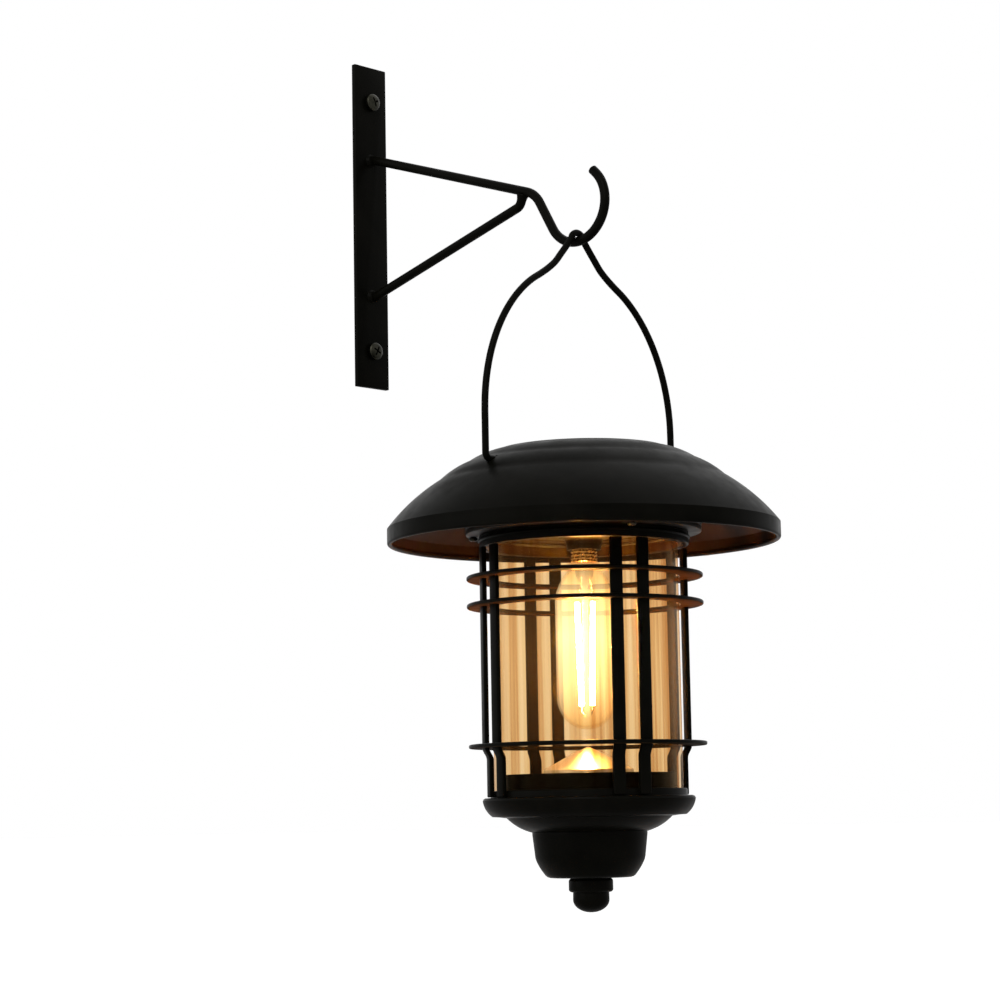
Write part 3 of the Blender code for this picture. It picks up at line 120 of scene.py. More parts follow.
def block(name, size, centre, turn=0):
    """A box of a size at a place, turned about the upright through its middle."""
    bpy.ops.object.select_all(action="DESELECT")
    bpy.ops.mesh.primitive_cube_add(size=1, location=Vector(centre) * MM, rotation=(0, 0, turn))
    piece = bpy.context.object
    piece.name = piece.data.name = name
    piece.scale = Vector(size) * MM
    apply_place(piece)
    return piece


def drill(start, end, radius, sides=40):
    """A round cutter from one point to another."""
    start, end = Vector(start), Vector(end)
    along = end - start
    turn = along.to_track_quat("Z", "Y").to_euler()
    bpy.ops.object.select_all(action="DESELECT")
    bpy.ops.mesh.primitive_cylinder_add(
        vertices=sides, radius=radius * MM, depth=along.length * MM,
        location=(start + end) / 2 * MM, rotation=turn,
    )
    piece = bpy.context.object
    apply_place(piece)
    return piece


def choose(piece):
    bpy.ops.object.select_all(action="DESELECT")
    piece.select_set(True)
    bpy.context.view_layer.objects.active = piece


def apply_place(piece):
    choose(piece)
    bpy.ops.object.transform_apply(location=True, rotation=True, scale=True)


def apply_modifier(piece, kind, **settings):
    choose(piece)
    modifier = piece.modifiers.new(kind.lower(), kind)
    for setting, value in settings.items():
        setattr(modifier, setting, value)
    bpy.ops.object.modifier_apply(modifier=modifier.name)


def soften(piece, width, segments=3, angle=35):
    """Rounds every edge that is sharper than an angle."""
    apply_modifier(
        piece, "BEVEL", width=width * MM, segments=segments,
        limit_method="ANGLE", angle_limit=math.radians(angle),
    )


def combine(piece, other, operation):
    apply_modifier(piece, "BOOLEAN", object=other, operation=operation, solver="EXACT")
    bpy.data.objects.remove(other)


def cut(piece, cutter):
    combine(piece, cutter, "DIFFERENCE")


def cut_cross(screw, size, level, first_turn):
    """A cross recess in a screw's head."""
    for turn in (first_turn, first_turn + math.pi / 2):
        cut(screw, block("slot", size, (AXIS, 0, RIM + level), turn))


def place_turned(piece, place):
    """Takes a piece that was turned on the lantern's axis, at the rim's height, to another place."""
    stand = Matrix.Translation(Vector((AXIS, 0, RIM)) * MM)
    piece.matrix_world = place @ stand.inverted()
    apply_place(piece)


def turn_about_lantern(piece, angle):
    middle = Matrix.Translation(Vector((AXIS, 0, 0)) * MM)
    piece.matrix_world = middle @ Matrix.Rotation(angle, 4, "Z") @ middle.inverted()
    apply_place(piece)


def copy_piece(piece, name):
    choose(piece)
    bpy.ops.object.duplicate(linked=False)
    copy = bpy.context.object
    copy.name = copy.data.name = name
    return copy


def join(pieces):
    choose(pieces[0])
    for piece in pieces:
        piece.select_set(True)
    bpy.ops.object.join()
    return pieces[0]


def finish_piece(piece, body, finish, cad_node=None, smooth=35):
    """Smooths a piece, paints it, fixes it to its body and hides the CAD node, if any, that it stands for."""
    choose(piece)
    bpy.ops.object.shade_smooth_by_angle(angle=math.radians(smooth))
    if finish:
        piece.data.materials.clear()
        piece.data.materials.append(finish)
    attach(piece, body)
    if cad_node:
        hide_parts(cad_node)


# Lines and profiles


def bowed(start, end, rise, steps=8):
    """Profile points after start on a shallow arc to end."""
    start, end = Vector(start), Vector(end)
    along = end - start
    outward = Vector((-along.y, along.x)).normalized()
    shares = [i / steps for i in range(1, steps + 1)]
    return [tuple(start + along * s + outward * rise * 4 * s * (1 - s)) for s in shares]


def sheet_section(outer, thickness):
    """A closed section of a bent sheet: its outer line, then the same line one thickness further in."""
    points = [Vector(point) for point in outer]
    inner = []
    for i, point in enumerate(points):
        before = (point - points[i - 1]).normalized() if i else None
        after = (points[i + 1] - point).normalized() if i + 1 < len(points) else None
        ways = [way for way in (before, after) if way]
        sides = [Vector((way.y, -way.x)) for way in ways]
        middle = sum(sides, Vector((0, 0))).normalized()
        inner.append(point + middle * thickness / middle.dot(sides[0]))
    for point, across in zip(points, inner):
        if point.x == 0:
            across.x = 0
    return [tuple(point) for point in [*points, *reversed(inner)]]


def ring_section(inside, outside, bottom, top):
    """The closed section of a plain ring or tube."""
    return [(inside, bottom), (outside, bottom), (outside, top), (inside, top)]


def dome(radius, top, height, steps=10):
    """Profile points of a rounded end that closes on the axis below top."""
    turns = [math.pi / 2 * i / steps for i in range(steps)]
    return [*[(radius * math.cos(t), top - height * math.sin(t)) for t in turns], (0, top - height)]


def arc_line(centre, radius, start, end, steps):
    turns = [start + (end - start) * i / steps for i in range(steps + 1)]
    return [centre + Vector((math.cos(t), 0, math.sin(t))) * radius for t in turns]


def bend_line(before, corner, after, radius, steps=12):
    """The arc that rounds a corner of a rod."""
    back = (before - corner).normalized()
    ahead = (after - corner).normalized()
    half = back.angle(ahead) / 2
    middle = corner + (back + ahead).normalized() * radius / math.sin(half)
    first = corner + back * radius / math.tan(half) - middle
    last = corner + ahead * radius / math.tan(half) - middle
    return [middle + first.slerp(last, i / steps).normalized() * radius for i in range(steps + 1)]


def smooth_line(points, steps=6):
    """A smooth curve through given points."""
    padded = [points[0] * 2 - points[1], *points, points[-1] * 2 - points[-2]]
    curve = []
    for a, b, c, d in zip(padded, padded[1:], padded[2:], padded[3:]):
        for i in range(steps):
            t = i / steps
            pull = 2 * a - 5 * b + 4 * c - d
            twist = 3 * b - a - 3 * c + d
            curve.append(b + ((c - a) * t + pull * t**2 + twist * t**3) / 2)
    return [*curve, points[-1]]


def on_lantern(radius, angle, height):
    """A point of the lamp or the cage, which are yawed on the axis."""
    turn = angle + LANTERN_YAW
    return Vector((AXIS + radius * math.cos(turn), radius * math.sin(turn), RIM + height))


# Finishes


CLOUD_SCALE, PATCH_SCALE, PEEL_SCALE = 45, 130, 1300
PEEL_DEPTH = 0.005
TARNISH_SCALE, PIT_SCALE = 220, 900
PIT_DEPTH = 0.006
NOISE_LOW, NOISE_HIGH = 0.3, 0.7
MIX_COLOUR_A, MIX_COLOUR_B, MIX_COLOUR_OUT = 6, 7, 2
EDGE_SHARPNESS = 5.0
EDGE_GLOSS, FACE_GLOSS = 0.3, 0.001
GLOSS_COLOUR = (1, 0.93, 0.80, 1)
# Where the painted shade on one side of the glass lies, and how far across it grows
SHADED_SIDE_TURN, SHADED_SIDE_REACH = math.radians(44), 40
# Heights over which the glass gives out its painted glow
PAINTED_GLOW_BOTTOM, PAINTED_GLOW_TOP = -110, 5
CHIP_PITCH = 2.4
CHIP_GLOW_LOW, CHIP_GLOW_HIGH = 1100.0, 1500.0
FINGER_PITCH, FINGER_HALF_WIDTH = 0.9, 0.075
CELL_BAR_OFFSET, CELL_BAR_HALF_WIDTH = 9, 0.8
CRYSTAL_SCALE = 260.0


def new_finish(name):
    material = bpy.data.materials.new(name)
    material.use_nodes = True
    tree = material.node_tree
    return material, tree, tree.nodes["Principled BSDF"]


def node(tree, kind, inputs=None, **settings):
    """Adds a shader node, with its settings and what goes into its sockets."""
    made = tree.nodes.new("ShaderNode" + kind)
    for setting, value in settings.items():
        setattr(made, setting, value)
    for socket, value in (inputs or {}).items():
        if isinstance(value, bpy.types.NodeSocket):
            tree.links.new(value, made.inputs[socket])
        else:
            made.inputs[socket].default_value = value
    return made


def object_place(tree, location=(0, 0, 0), turn=0, scale=(1, 1, 1)):
    """Object coordinates, measured from a place on the piece."""
    place = node(tree, "TexCoord").outputs["Object"]
    moved = node(tree, "Mapping", {"Vector": place, "Location": [-v * MM for v in location]})
    turned_place = node(
        tree, "Mapping", {"Vector": moved.outputs[0], "Rotation": (0, 0, -turn), "Scale": scale}
    )
    return turned_place.outputs[0]


def ramp(tree, factor, stops):
    """A colour ramp; each stop is a position and a colour."""
    made = node(tree, "ValToRGB", {"Fac": factor})
    elements = made.color_ramp.elements
    for position, _ in stops[2:]:
        elements.new(position)
    for element, (position, colour) in zip(elements, stops):
        element.position = position
        element.color = (*colour, 1)
    return made.outputs["Color"]


def mixed_colour(tree, share, first, second):
    """A colour that goes from the first to the second as the share goes from 0 to 1."""
    sources = {"Factor": share, MIX_COLOUR_A: first, MIX_COLOUR_B: second}
    return node(tree, "Mix", sources, data_type="RGBA").outputs[MIX_COLOUR_OUT]


def calculate(tree, operation, *values):
    return node(tree, "Math", dict(enumerate(values)), operation=operation).outputs[0]


def rescale(tree, value, low, high, new_low=0.0, new_high=1.0):
    """Takes values from one range to another, and holds them in it."""
    ends = {"From Min": low, "From Max": high, "To Min": new_low, "To Max": new_high}
    return node(tree, "MapRange", {"Value": value, **ends}).outputs["Result"]


def spread(tree, value, low, high):
    """Stretches the middle of a noise to a range."""
    return rescale(tree, value, NOISE_LOW, NOISE_HIGH, low, high)


def noise(tree, place, scale, detail=4, roughness=0.55):
    """Noise with so many features a metre."""
    made = node(tree, "TexNoise", {"Vector": place, "Scale": scale, "Detail": detail, "Roughness": roughness})
    return made.outputs["Fac"]


def bump(tree, height, depth):
    made = node(tree, "Bump", {"Height": height, "Distance": depth * MM})
    return made.outputs["Normal"]


def feed(tree, shader, **sources):
    """Links values into a shader's sockets, named with underscores."""
    for socket, source in sources.items():
        tree.links.new(source, shader.inputs[socket.replace("_", " ")])


def painted(name, dark, light, rough, specular, grain=PEEL_SCALE, depth=PEEL_DEPTH):
    """Sprayed paint: faint clouding, an uneven gloss and a fine orange-peel surface."""
    material, tree, shader = new_finish(name)
    place = object_place(tree)
    clouds = noise(tree, place, CLOUD_SCALE, 6, 0.62)
    patches = noise(tree, place, PATCH_SCALE, 5)
    peel = noise(tree, place, grain, 2)
    feed(
        tree, shader,
        Base_Color=ramp(tree, clouds, [(0.32, dark), (0.7, light)]),
        Roughness=spread(tree, patches, *rough),
        Normal=bump(tree, peel, depth),
    )
    shader.inputs["Specular IOR Level"].default_value = specular
    return material


def plain_metal(name, dark, light, rough, pits=PIT_DEPTH):
    """Metal with uneven tarnish and a grain of fine pits."""
    material, tree, shader = new_finish(name)
    place = object_place(tree)
    tarnish = noise(tree, place, TARNISH_SCALE, 5)
    grain = noise(tree, place, PIT_SCALE, 3)
    feed(
        tree, shader,
        Base_Color=ramp(tree, tarnish, [(0.35, dark), (0.68, light)]),
        Roughness=spread(tree, grain, *rough),
        Normal=bump(tree, grain, pits),
    )
    shader.inputs["Metallic"].default_value = 1.0
    return material


def thin_glass(name, tint, edge_tint, painted_glow, painted_glow_colour, streaks, gloss_roughness, painted_side_shade=0.0):
    """Thin clear glass: drawn streaks, a painted shade that makes one side browner, reflections, and a
    painted warm glow of the glass itself.
    """
    material, tree, shader = new_finish(name)
    tree.nodes.remove(shader)
    lines = noise(tree, object_place(tree, (AXIS, 0, 0), scale=streaks), 1, 4, 0.6)
    # Painted shade: the tint grows browner across the glass towards one side
    across = node(tree, "SeparateXYZ", {0: object_place(tree, (AXIS, 0, 0), SHADED_SIDE_TURN)}).outputs["X"]
    side = rescale(tree, across, 0.0, SHADED_SIDE_REACH * MM, 0.0, painted_side_shade)
    shade = calculate(tree, "SUBTRACT", lines, side)
    colour = ramp(tree, shade, tint)
    facing = node(tree, "LayerWeight", {"Blend": 0.5}).outputs["Facing"]
    edge = calculate(tree, "POWER", facing, EDGE_SHARPNESS)
    deep = mixed_colour(tree, edge, colour, (*edge_tint, 1))
    clear = node(tree, "BsdfTransparent", {"Color": deep})
    shine = node(tree, "BsdfGlossy", {"Color": GLOSS_COLOUR, "Roughness": gloss_roughness})
    mirror = calculate(tree, "MULTIPLY_ADD", edge, EDGE_GLOSS, FACE_GLOSS)
    glass = node(tree, "MixShader", {0: mirror, 1: clear.outputs[0], 2: shine.outputs[0]})
    # Painted light: the glass itself glows, more or less with height, in place of the bulb's light within it
    height = node(tree, "SeparateXYZ", {0: object_place(tree, (AXIS, 0, RIM))}).outputs["Z"]
    share = rescale(tree, height, PAINTED_GLOW_BOTTOM * MM, PAINTED_GLOW_TOP * MM)
    strength = ramp(tree, share, painted_glow)
    light = node(tree, "Emission", {"Color": (*painted_glow_colour, 1), "Strength": strength})
    lit = node(tree, "AddShader", {0: glass.outputs[0], 1: light.outputs[0]})
    tree.links.new(lit.outputs[0], tree.nodes["Material Output"].inputs["Surface"])
    return material


def grey(value):
    return (value, value, value)


BLACK_PAINT = painted(
    "black_paint", (0.0012, 0.0012, 0.0007), (0.0032, 0.0030, 0.0021), (0.28, 0.40), 0.018
)
# A browner, glossier copy of the black paint for the hood's inside: painted warm light from the bulb
LAMPLIT_HOOD_PAINT = painted("lamplit_hood_paint", (0.0085, 0.0050, 0.0028), (0.016, 0.0095, 0.0055), (0.30, 0.42), 0.06)
# A browner copy of the black paint for the rings' undersides: painted warm light from the bulb
LAMPLIT_RING_PAINT = painted(
    "lamplit_ring_paint", (0.012, 0.007, 0.0032), (0.021, 0.012, 0.006), (0.50, 0.62), 0.004
)
BLACK_PLASTIC = painted(
    "black_plastic", (0.007, 0.006, 0.005), (0.013, 0.011, 0.009), (0.40, 0.55), 0.10, 2200, 0.008
)
RUBBER = painted("rubber", (0.010, 0.010, 0.009), (0.020, 0.019, 0.018), (0.72, 0.88), 0.2, 1700, 0.03)
SCREW_STEEL = plain_metal("screw_steel", (0.013, 0.013, 0.009), (0.034, 0.033, 0.025), (0.30, 0.44))
BRIGHT_STEEL = plain_metal("bright_steel", (0.42, 0.41, 0.39), (0.62, 0.61, 0.58), (0.22, 0.36))
BRASS = plain_metal("brass", (0.64, 0.43, 0.17), (0.72, 0.50, 0.21), (0.22, 0.30), 0.001)
MIRROR_METAL = plain_metal("mirror_metal", (0.78, 0.76, 0.70), (0.90, 0.88, 0.83), (0.29, 0.34), 0.0002)
BULB_TINT = [(0.30, (0.96, 0.90, 0.76)), (0.7, (0.985, 0.95, 0.86))]
BULB_EDGE = (0.80, 0.62, 0.36)
# The tube's glass glows faintly amber, most near its middle: painted light
CLEAR_GLASS = thin_glass(
    "clear_glass",
    [(0.32, (0.76, 0.57, 0.38)), (0.47, (0.92, 0.81, 0.64)), (0.64, (0.965, 0.89, 0.765))],
    (0.62, 0.40, 0.22),
    [(0.08, grey(0.0)), (0.20, grey(0.006)), (0.55, grey(0.020)), (0.95, grey(0.003))],
    # painted shade browns one side of the tube
    (1.0, 0.52, 0.17), (190, 190, 4), 0.18, painted_side_shade=0.06,
)
# The bulb's glass glows brightest at mid height: a painted halo round the filaments
BULB_GLASS = thin_glass(
    "bulb_glass",
    BULB_TINT, BULB_EDGE,
    [(0.27, grey(0.05)), (0.42, grey(0.28)), (0.60, grey(0.46)), (0.74, grey(0.32)), (0.88, grey(0.06))],
    (1.0, 0.86, 0.64), (90, 90, 30), 0.05,
)
# The glass stem glows along the filaments' length: painted light
STEM_GLASS = thin_glass(
    "stem_glass",
    BULB_TINT, BULB_EDGE,
    [(0.30, grey(0.3)), (0.36, grey(1.0)), (0.72, grey(1.0)), (0.80, grey(0.2)), (0.90, grey(0.05))],
    (1.0, 0.84, 0.56), (90, 90, 30), 0.05,
)


def glowing_filament():
    """Yellow phosphor over a row of small chips, brighter and dimmer along it."""
    material, tree, shader = new_finish("filament")
    height = node(tree, "SeparateXYZ", {0: object_place(tree, (AXIS, 0, RIM))}).outputs["Z"]
    chips = calculate(tree, "PINGPONG", height, CHIP_PITCH * MM)
    warmth = rescale(tree, chips, 0.0, CHIP_PITCH * MM, CHIP_GLOW_LOW, CHIP_GLOW_HIGH)
    feed(tree, shader, Emission_Strength=warmth)
    shader.inputs["Base Color"].default_value = (0.9, 0.6, 0.15, 1)
    shader.inputs["Emission Color"].default_value = (1.0, 0.58, 0.23, 1)
    shader.inputs["Roughness"].default_value = 0.5
    return material


def silicon_cell():
    """A dark blue cell with silver fingers and two bars under a clear cover."""
    material, tree, shader = new_finish("solar_cell")
    place = object_place(tree, (AXIS, 0, RIM), LANTERN_YAW)
    split = node(tree, "SeparateXYZ", {0: place})
    fingers = calculate(tree, "PINGPONG", split.outputs["X"], FINGER_PITCH * MM)
    finger = calculate(tree, "LESS_THAN", fingers, FINGER_HALF_WIDTH * MM)
    away = calculate(tree, "ABSOLUTE", split.outputs["Y"])
    from_bar = calculate(tree, "SUBTRACT", away, CELL_BAR_OFFSET * MM)
    off_bar = calculate(tree, "ABSOLUTE", from_bar)
    bar = calculate(tree, "LESS_THAN", off_bar, CELL_BAR_HALF_WIDTH * MM)
    silver = calculate(tree, "MAXIMUM", finger, bar)
    crystals = node(tree, "TexVoronoi", {"Vector": place, "Scale": CRYSTAL_SCALE}).outputs["Color"]
    shade = node(tree, "SeparateColor", {0: crystals}).outputs[0]
    silicon = ramp(tree, shade, [(0.0, (0.004, 0.006, 0.018)), (1.0, (0.010, 0.016, 0.045))])
    colour = mixed_colour(tree, silver, silicon, (0.30, 0.31, 0.33, 1))
    rough = rescale(tree, shade, 0.0, 1.0, 0.22, 0.34)
    feed(tree, shader, Base_Color=colour, Roughness=rough)
    shader.inputs["Specular IOR Level"].default_value = 0.15
    shader.inputs["Coat Weight"].default_value = 0.25
    shader.inputs["Coat Roughness"].default_value = 0.05
    return material


FILAMENT = glowing_filament()
SOLAR_CELL = silicon_cell()
BOARD = painted("board", (0.010, 0.060, 0.022), (0.018, 0.105, 0.040), (0.34, 0.5), 0.4, 1600, 0.02)
BATTERY_WRAP = painted("battery_wrap", (0.06, 0.10, 0.05), (0.10, 0.16, 0.08), (0.28, 0.4), 0.5, 900, 0.01)


# Wall bracket


PLATE_THICKNESS, PLATE_WIDTH, PLATE_HEIGHT = 2.5, 20, 156
ARM_DROP = math.radians(18.8)
ROD_RADIUS = 2.1
ROOT_START, ROOT_END = 0.3, 5.0
ROOT_BEND = 6.0
ROOT_HOLE, SCREW_HOLE = 2.4, 2.3
UPPER_ROOT, LOWER_ROOT = 31.8, -34.2
SCREW_LEVELS = {"upper": 60.5, "lower": -60.5}
SCREW_TOP = 5.6
SCREW_TURN, LOWER_SCREW_TURN = 0.4, 0.7
HOOK_CENTRE, HOOK_RADIUS = Vector((AXIS, 0, -13.2)), 16.8
HOOK_START, HOOK_END = math.radians(-150), math.radians(47)
SHANK_SLOPE = math.radians(60)
SHOULDER_BEND = 14.0
BRACE_REACH, BRACE_GAP = 102.5, 2.4
BRACE_RISE, BRACE_BEND = 4.5, 4.0


def arm_line(reach):
    """The point on the arm's straight part that is so far from the wall."""
    return Vector((reach, 0, UPPER_ROOT - (reach - ROOT_END) * math.tan(ARM_DROP)))


def make_wall_plate():
    plate = block("bracket_plate", (PLATE_THICKNESS, PLATE_WIDTH, PLATE_HEIGHT), (PLATE_THICKNESS / 2, 0, 0))
    soften(plate, 0.45)
    holes = [(level, SCREW_HOLE) for level in SCREW_LEVELS.values()]
    holes += [(level, ROOT_HOLE) for level in (UPPER_ROOT, LOWER_ROOT)]
    for level, radius in holes:
        cut(plate, drill((-2, 0, level), (5, 0, level), radius))
    finish_piece(plate, "bracket", BLACK_PAINT, "wall_plate")


def lay_on_wall(piece, level):
    """Lays a turned piece on the wall, so that it points out from it."""
    place_turned(piece, Matrix.Translation(Vector((0, 0, level)) * MM) @ Matrix.Rotation(math.pi / 2, 4, "Y"))


def make_wall_screws():
    head = [(0, 0.3), (2.0, 0.3), (2.0, 2.8), (4.0, 2.8), (4.0, 4.6)]
    crown = [(3.7, 5.0), (3.0, 5.3), (2.0, 5.5), (1.0, 5.58), (0, SCREW_TOP)]
    screw = turned("bracket_screw_upper", [*head, *crown], SMALL_STEPS, closed=False)
    soften(screw, 0.25, 2, 50)
    cut_cross(screw, (4.6, 0.9, 2.4), SCREW_TOP, SCREW_TURN)
    other = copy_piece(screw, "bracket_screw_lower")
    turn_about_lantern(other, LOWER_SCREW_TURN)
    for name, piece in (("upper", screw), ("lower", other)):
        lay_on_wall(piece, SCREW_LEVELS[name])
        finish_piece(piece, "bracket", SCREW_STEEL, f"wall_screw_{name}")


def make_arm_rod():
    """The upper rod: out from the plate, down a shank and round the hook."""
    start = arm_line(ROOT_END)
    hook = arc_line(HOOK_CENTRE, HOOK_RADIUS, HOOK_START, HOOK_END, 60)
    down_shank = Vector((math.cos(SHANK_SLOPE), 0, -math.sin(SHANK_SLOPE)))
    down_arm = Vector((math.cos(ARM_DROP), 0, -math.sin(ARM_DROP)))
    to_hook = hook[0] - start
    across = down_arm.x * down_shank.z - down_arm.z * down_shank.x
    corner = start + down_arm * (to_hook.x * down_shank.z - to_hook.z * down_shank.x) / across
    root = Vector((ROOT_START, 0, UPPER_ROOT))
    set_down = bend_line(root, start, corner, ROOT_BEND, 6)
    bend = bend_line(start, corner, hook[0], SHOULDER_BEND)
    onward = (hook[-1] - hook[-2]).normalized()
    arm = rod("bracket_arm", [root, *set_down, *bend, *hook, hook[-1] + onward * ROD_RADIUS], ROD_RADIUS)
    soften(arm, 1.7, 5, 60)
    finish_piece(arm, "bracket", BLACK_PAINT, "arm_rod")


def make_brace_rod():
    """The lower rod, which turns up at its end to meet the arm."""
    root, start = Vector((ROOT_START, 0, LOWER_ROOT)), Vector((ROOT_END, 0, LOWER_ROOT))
    to_arm = Vector((math.sin(ARM_DROP), 0, math.cos(ARM_DROP)))
    end = arm_line(BRACE_REACH) - to_arm * BRACE_GAP
    corner = end - to_arm * BRACE_RISE
    bend = bend_line(start, corner, end, BRACE_BEND)
    set_up = bend_line(root, start, corner, ROOT_BEND, 6)
    brace = rod("bracket_brace", [root, *set_up, *bend, end], ROD_RADIUS)
    soften(brace, 0.3, 2, 60)
    finish_piece(brace, "bracket", BLACK_PAINT, "brace_rod")
    return end, to_arm


def make_welds(brace_end, to_arm):
    """Small beads where the rods leave the plate and where the brace meets the arm."""
    fillet = [(1.9, 2.4), (3.5, 2.4), (3.3, 2.7), (2.75, 3.0), (2.4, 3.5), (2.2, 4.2), (1.9, 4.2)]
    for name, level in (("arm_root_weld", UPPER_ROOT), ("brace_root_weld", LOWER_ROOT)):
        bead = turned(name, fillet, SMALL_STEPS)
        lay_on_wall(bead, level)
        finish_piece(bead, "bracket", BLACK_PAINT)
    flare = [
        (1.8, -2.4), (2.12, -2.4), (2.17, -1.6), (2.32, -0.8), (2.55, -0.1), (2.75, 0.5), (2.6, 0.9),
        (1.8, 1.2),
    ]
    bead = turned("brace_tip_weld", flare, SMALL_STEPS)
    lean = Vector((0, 0, 1)).rotation_difference(to_arm).to_matrix().to_4x4()
    place_turned(bead, Matrix.Translation(brace_end * MM) @ lean)
    finish_piece(bead, "bracket", BLACK_PAINT)


# Hood and bail


HOOD_SHEET = 1.0
# Which hood faces take the painted warm light: those below this height that face inwards
LAMPLIT_TOP = 38.0
LAMPLIT_LEAN, LAMPLIT_LIMIT = 0.6, -0.25
BAIL_TOP = -26.1
BAIL_RADIUS, BAIL_HOLE = 1.5, 1.8
BAIL_HALF_SPAN = 59.7
ARCH_FOOT, ARCH_RISE = 85.0, 69.3
ARCH_TURN, ARCH_STEPS = math.radians(66), 14
STUB_END, STUB_TAIL = 49.2, 4.5
HOLE_END = 62.1
PIVOT = -131.298


def make_hood():
    """One spun sheet: a rolled crown, a stepped slope and a lip with a hem."""
    crown = [(26.98, 38.3), (32.48, 38.3), (33.3, 39.1), (34.23, 40.1), (35.1, 40.65), (35.98, 40.8)]
    slope = [
        (37.3, 40.6), (38.48, 40.1), *bowed((38.48, 40.1), (50.58, 35.0), 0.7),
        *bowed((50.58, 35.0), (62.48, 27.4), 0.7), *bowed((62.48, 27.4), (85.1, 7.0), 1.4, 14),
    ]
    lip = [(85.1, 4.0), (85.1, 1.0)]
    section = sheet_section([*crown, *slope, *lip], HOOD_SHEET)
    half = len(section) // 2
    hem = [(84.1 + math.cos(t), 1.0 + math.sin(t)) for t in [-math.pi * i / 10 for i in range(1, 10)]]
    roll = [(83.1, 1.0), (83.2, 1.5), (83.5, 1.9), (84.1, 2.2)]
    hood = turned("spun_hood", [*section[:half], *hem, *roll, *section[half + 1:]], 180)
    soften(hood, 0.35, 3, 60)
    for side in (-1, 1):
        cut(hood, drill((AXIS, side * STUB_END, PIVOT), (AXIS, side * HOLE_END, PIVOT), BAIL_HOLE))
    paint_lamplit_inside(hood)
    finish_piece(hood, "head", None, "hood_shell", 28)


def paint_lamplit_inside(hood):
    """The hood's inner side takes a browner copy of the paint: painted warm light from the bulb."""
    hood.data.materials.append(BLACK_PAINT)
    hood.data.materials.append(LAMPLIT_HOOD_PAINT)
    for face in hood.data.polygons:
        from_axis = Vector((face.center.x - AXIS * MM, face.center.y, 0))
        outward = from_axis.normalized() + Vector((0, 0, LAMPLIT_LEAN))
        inwards = face.normal.dot(outward) < LAMPLIT_LIMIT
        below_crown = face.center.z < (RIM + LAMPLIT_TOP) * MM
        face.material_index = 1 if inwards and below_crown else 0


def make_bail():
    """One wire: its ends in the hood's holes, a round arch, and a neck that draws in to the hook."""
    turns = [ARCH_TURN * i / ARCH_STEPS for i in range(1, ARCH_STEPS + 1)]
    side = [(BAIL_HALF_SPAN, ARCH_FOOT)]
    side += [(BAIL_HALF_SPAN * math.cos(t), ARCH_FOOT - ARCH_RISE * math.sin(t)) for t in turns]
    side += [(19.2, 18.5), (14.6, 15.0), (10.9, 11.0), (7.3, 7.0), (4.1, 3.2), (3.1, 1.4), (1.7, 0.4)]
    half = [Vector((AXIS, across, BAIL_TOP - depth)) for across, depth in side]
    tail, stub = Vector((AXIS, STUB_END, PIVOT - STUB_TAIL)), Vector((AXIS, STUB_END, PIVOT))
    elbow = Vector((AXIS, BAIL_HALF_SPAN, PIVOT))
    end = [tail, *bend_line(tail, stub, elbow, 2.0, 8), *bend_line(stub, elbow, half[0], 2.4, 8)]
    flip = Vector((1, -1, 1))
    top = Vector((AXIS, 0, BAIL_TOP))
    arch = smooth_line([*half, top, *[point * flip for point in reversed(half)]])
    other_end = [point * flip for point in reversed(end)]
    bail = rod("bail_wire", [*end, *arch, *other_end], BAIL_RADIUS, 8)
    soften(bail, 0.35, 3, 60)
    finish_piece(bail, "handle", BLACK_PAINT, "bail")


# Solar cap and lamp module


CAP_TOP = 40.7
CELL_SIZE, CELL_POCKET = (36, 36, 1.4), (36.6, 36.6, 4.0)
CELL_LEVEL = 39.7
SCREW_ANGLES = [math.tau * i / 3 for i in range(3)]
SCREW_CIRCLE, PLATE_SCREW_HOLE = 48.2, 1.5
PLATE_SCREW_END, PLATE_SCREW_TURN = 2.2, 0.3
SWITCH_SPOT, SWITCH_HOLE = on_lantern(26.0, math.radians(60), 0), 3.8
DRILL_UP = 12
PIN_ANGLES = [math.radians(30 + 120 * i) for i in range(3)]
PIN_LEVEL = 1.2
PIN_HALF_TURN = math.radians(7)
SKIRT_RADIUS, SLOT_CIRCLE = 42.3, 41.6
SLOT_HALF_HEIGHT, SLOT_DEPTH = 1.3, 4


def make_solar_cap():
    skirt = [(24.68, 30.7), (26.68, 30.7), (26.68, 39.7), (31.18, 39.7), (31.18, CAP_TOP)]
    groove = [(29.4, CAP_TOP), (29.2, 40.3), (28.6, 40.3), (28.4, CAP_TOP), (0, CAP_TOP)]
    inside = [(0, 36.5), (24.68, 36.5)]
    cap = turned("cap_moulding", [*skirt, *groove, *inside])
    cut(cap, block("pocket", CELL_POCKET, (AXIS, 0, RIM + CAP_TOP), LANTERN_YAW))
    soften(cap, 0.22, 2, 50)
    finish_piece(cap, "head", BLACK_PLASTIC, "solar_cap")
    cell = block("cell_panel", CELL_SIZE, (AXIS, 0, RIM + CELL_LEVEL), LANTERN_YAW)
    soften(cell, 0.25)
    finish_piece(cell, "head", SOLAR_CELL, "solar_cell")


def cut_screw_holes(piece):
    for angle in SCREW_ANGLES:
        bottom, top = (on_lantern(SCREW_CIRCLE, angle, height) for height in (0, DRILL_UP))
        cut(piece, drill(bottom, top, PLATE_SCREW_HOLE))


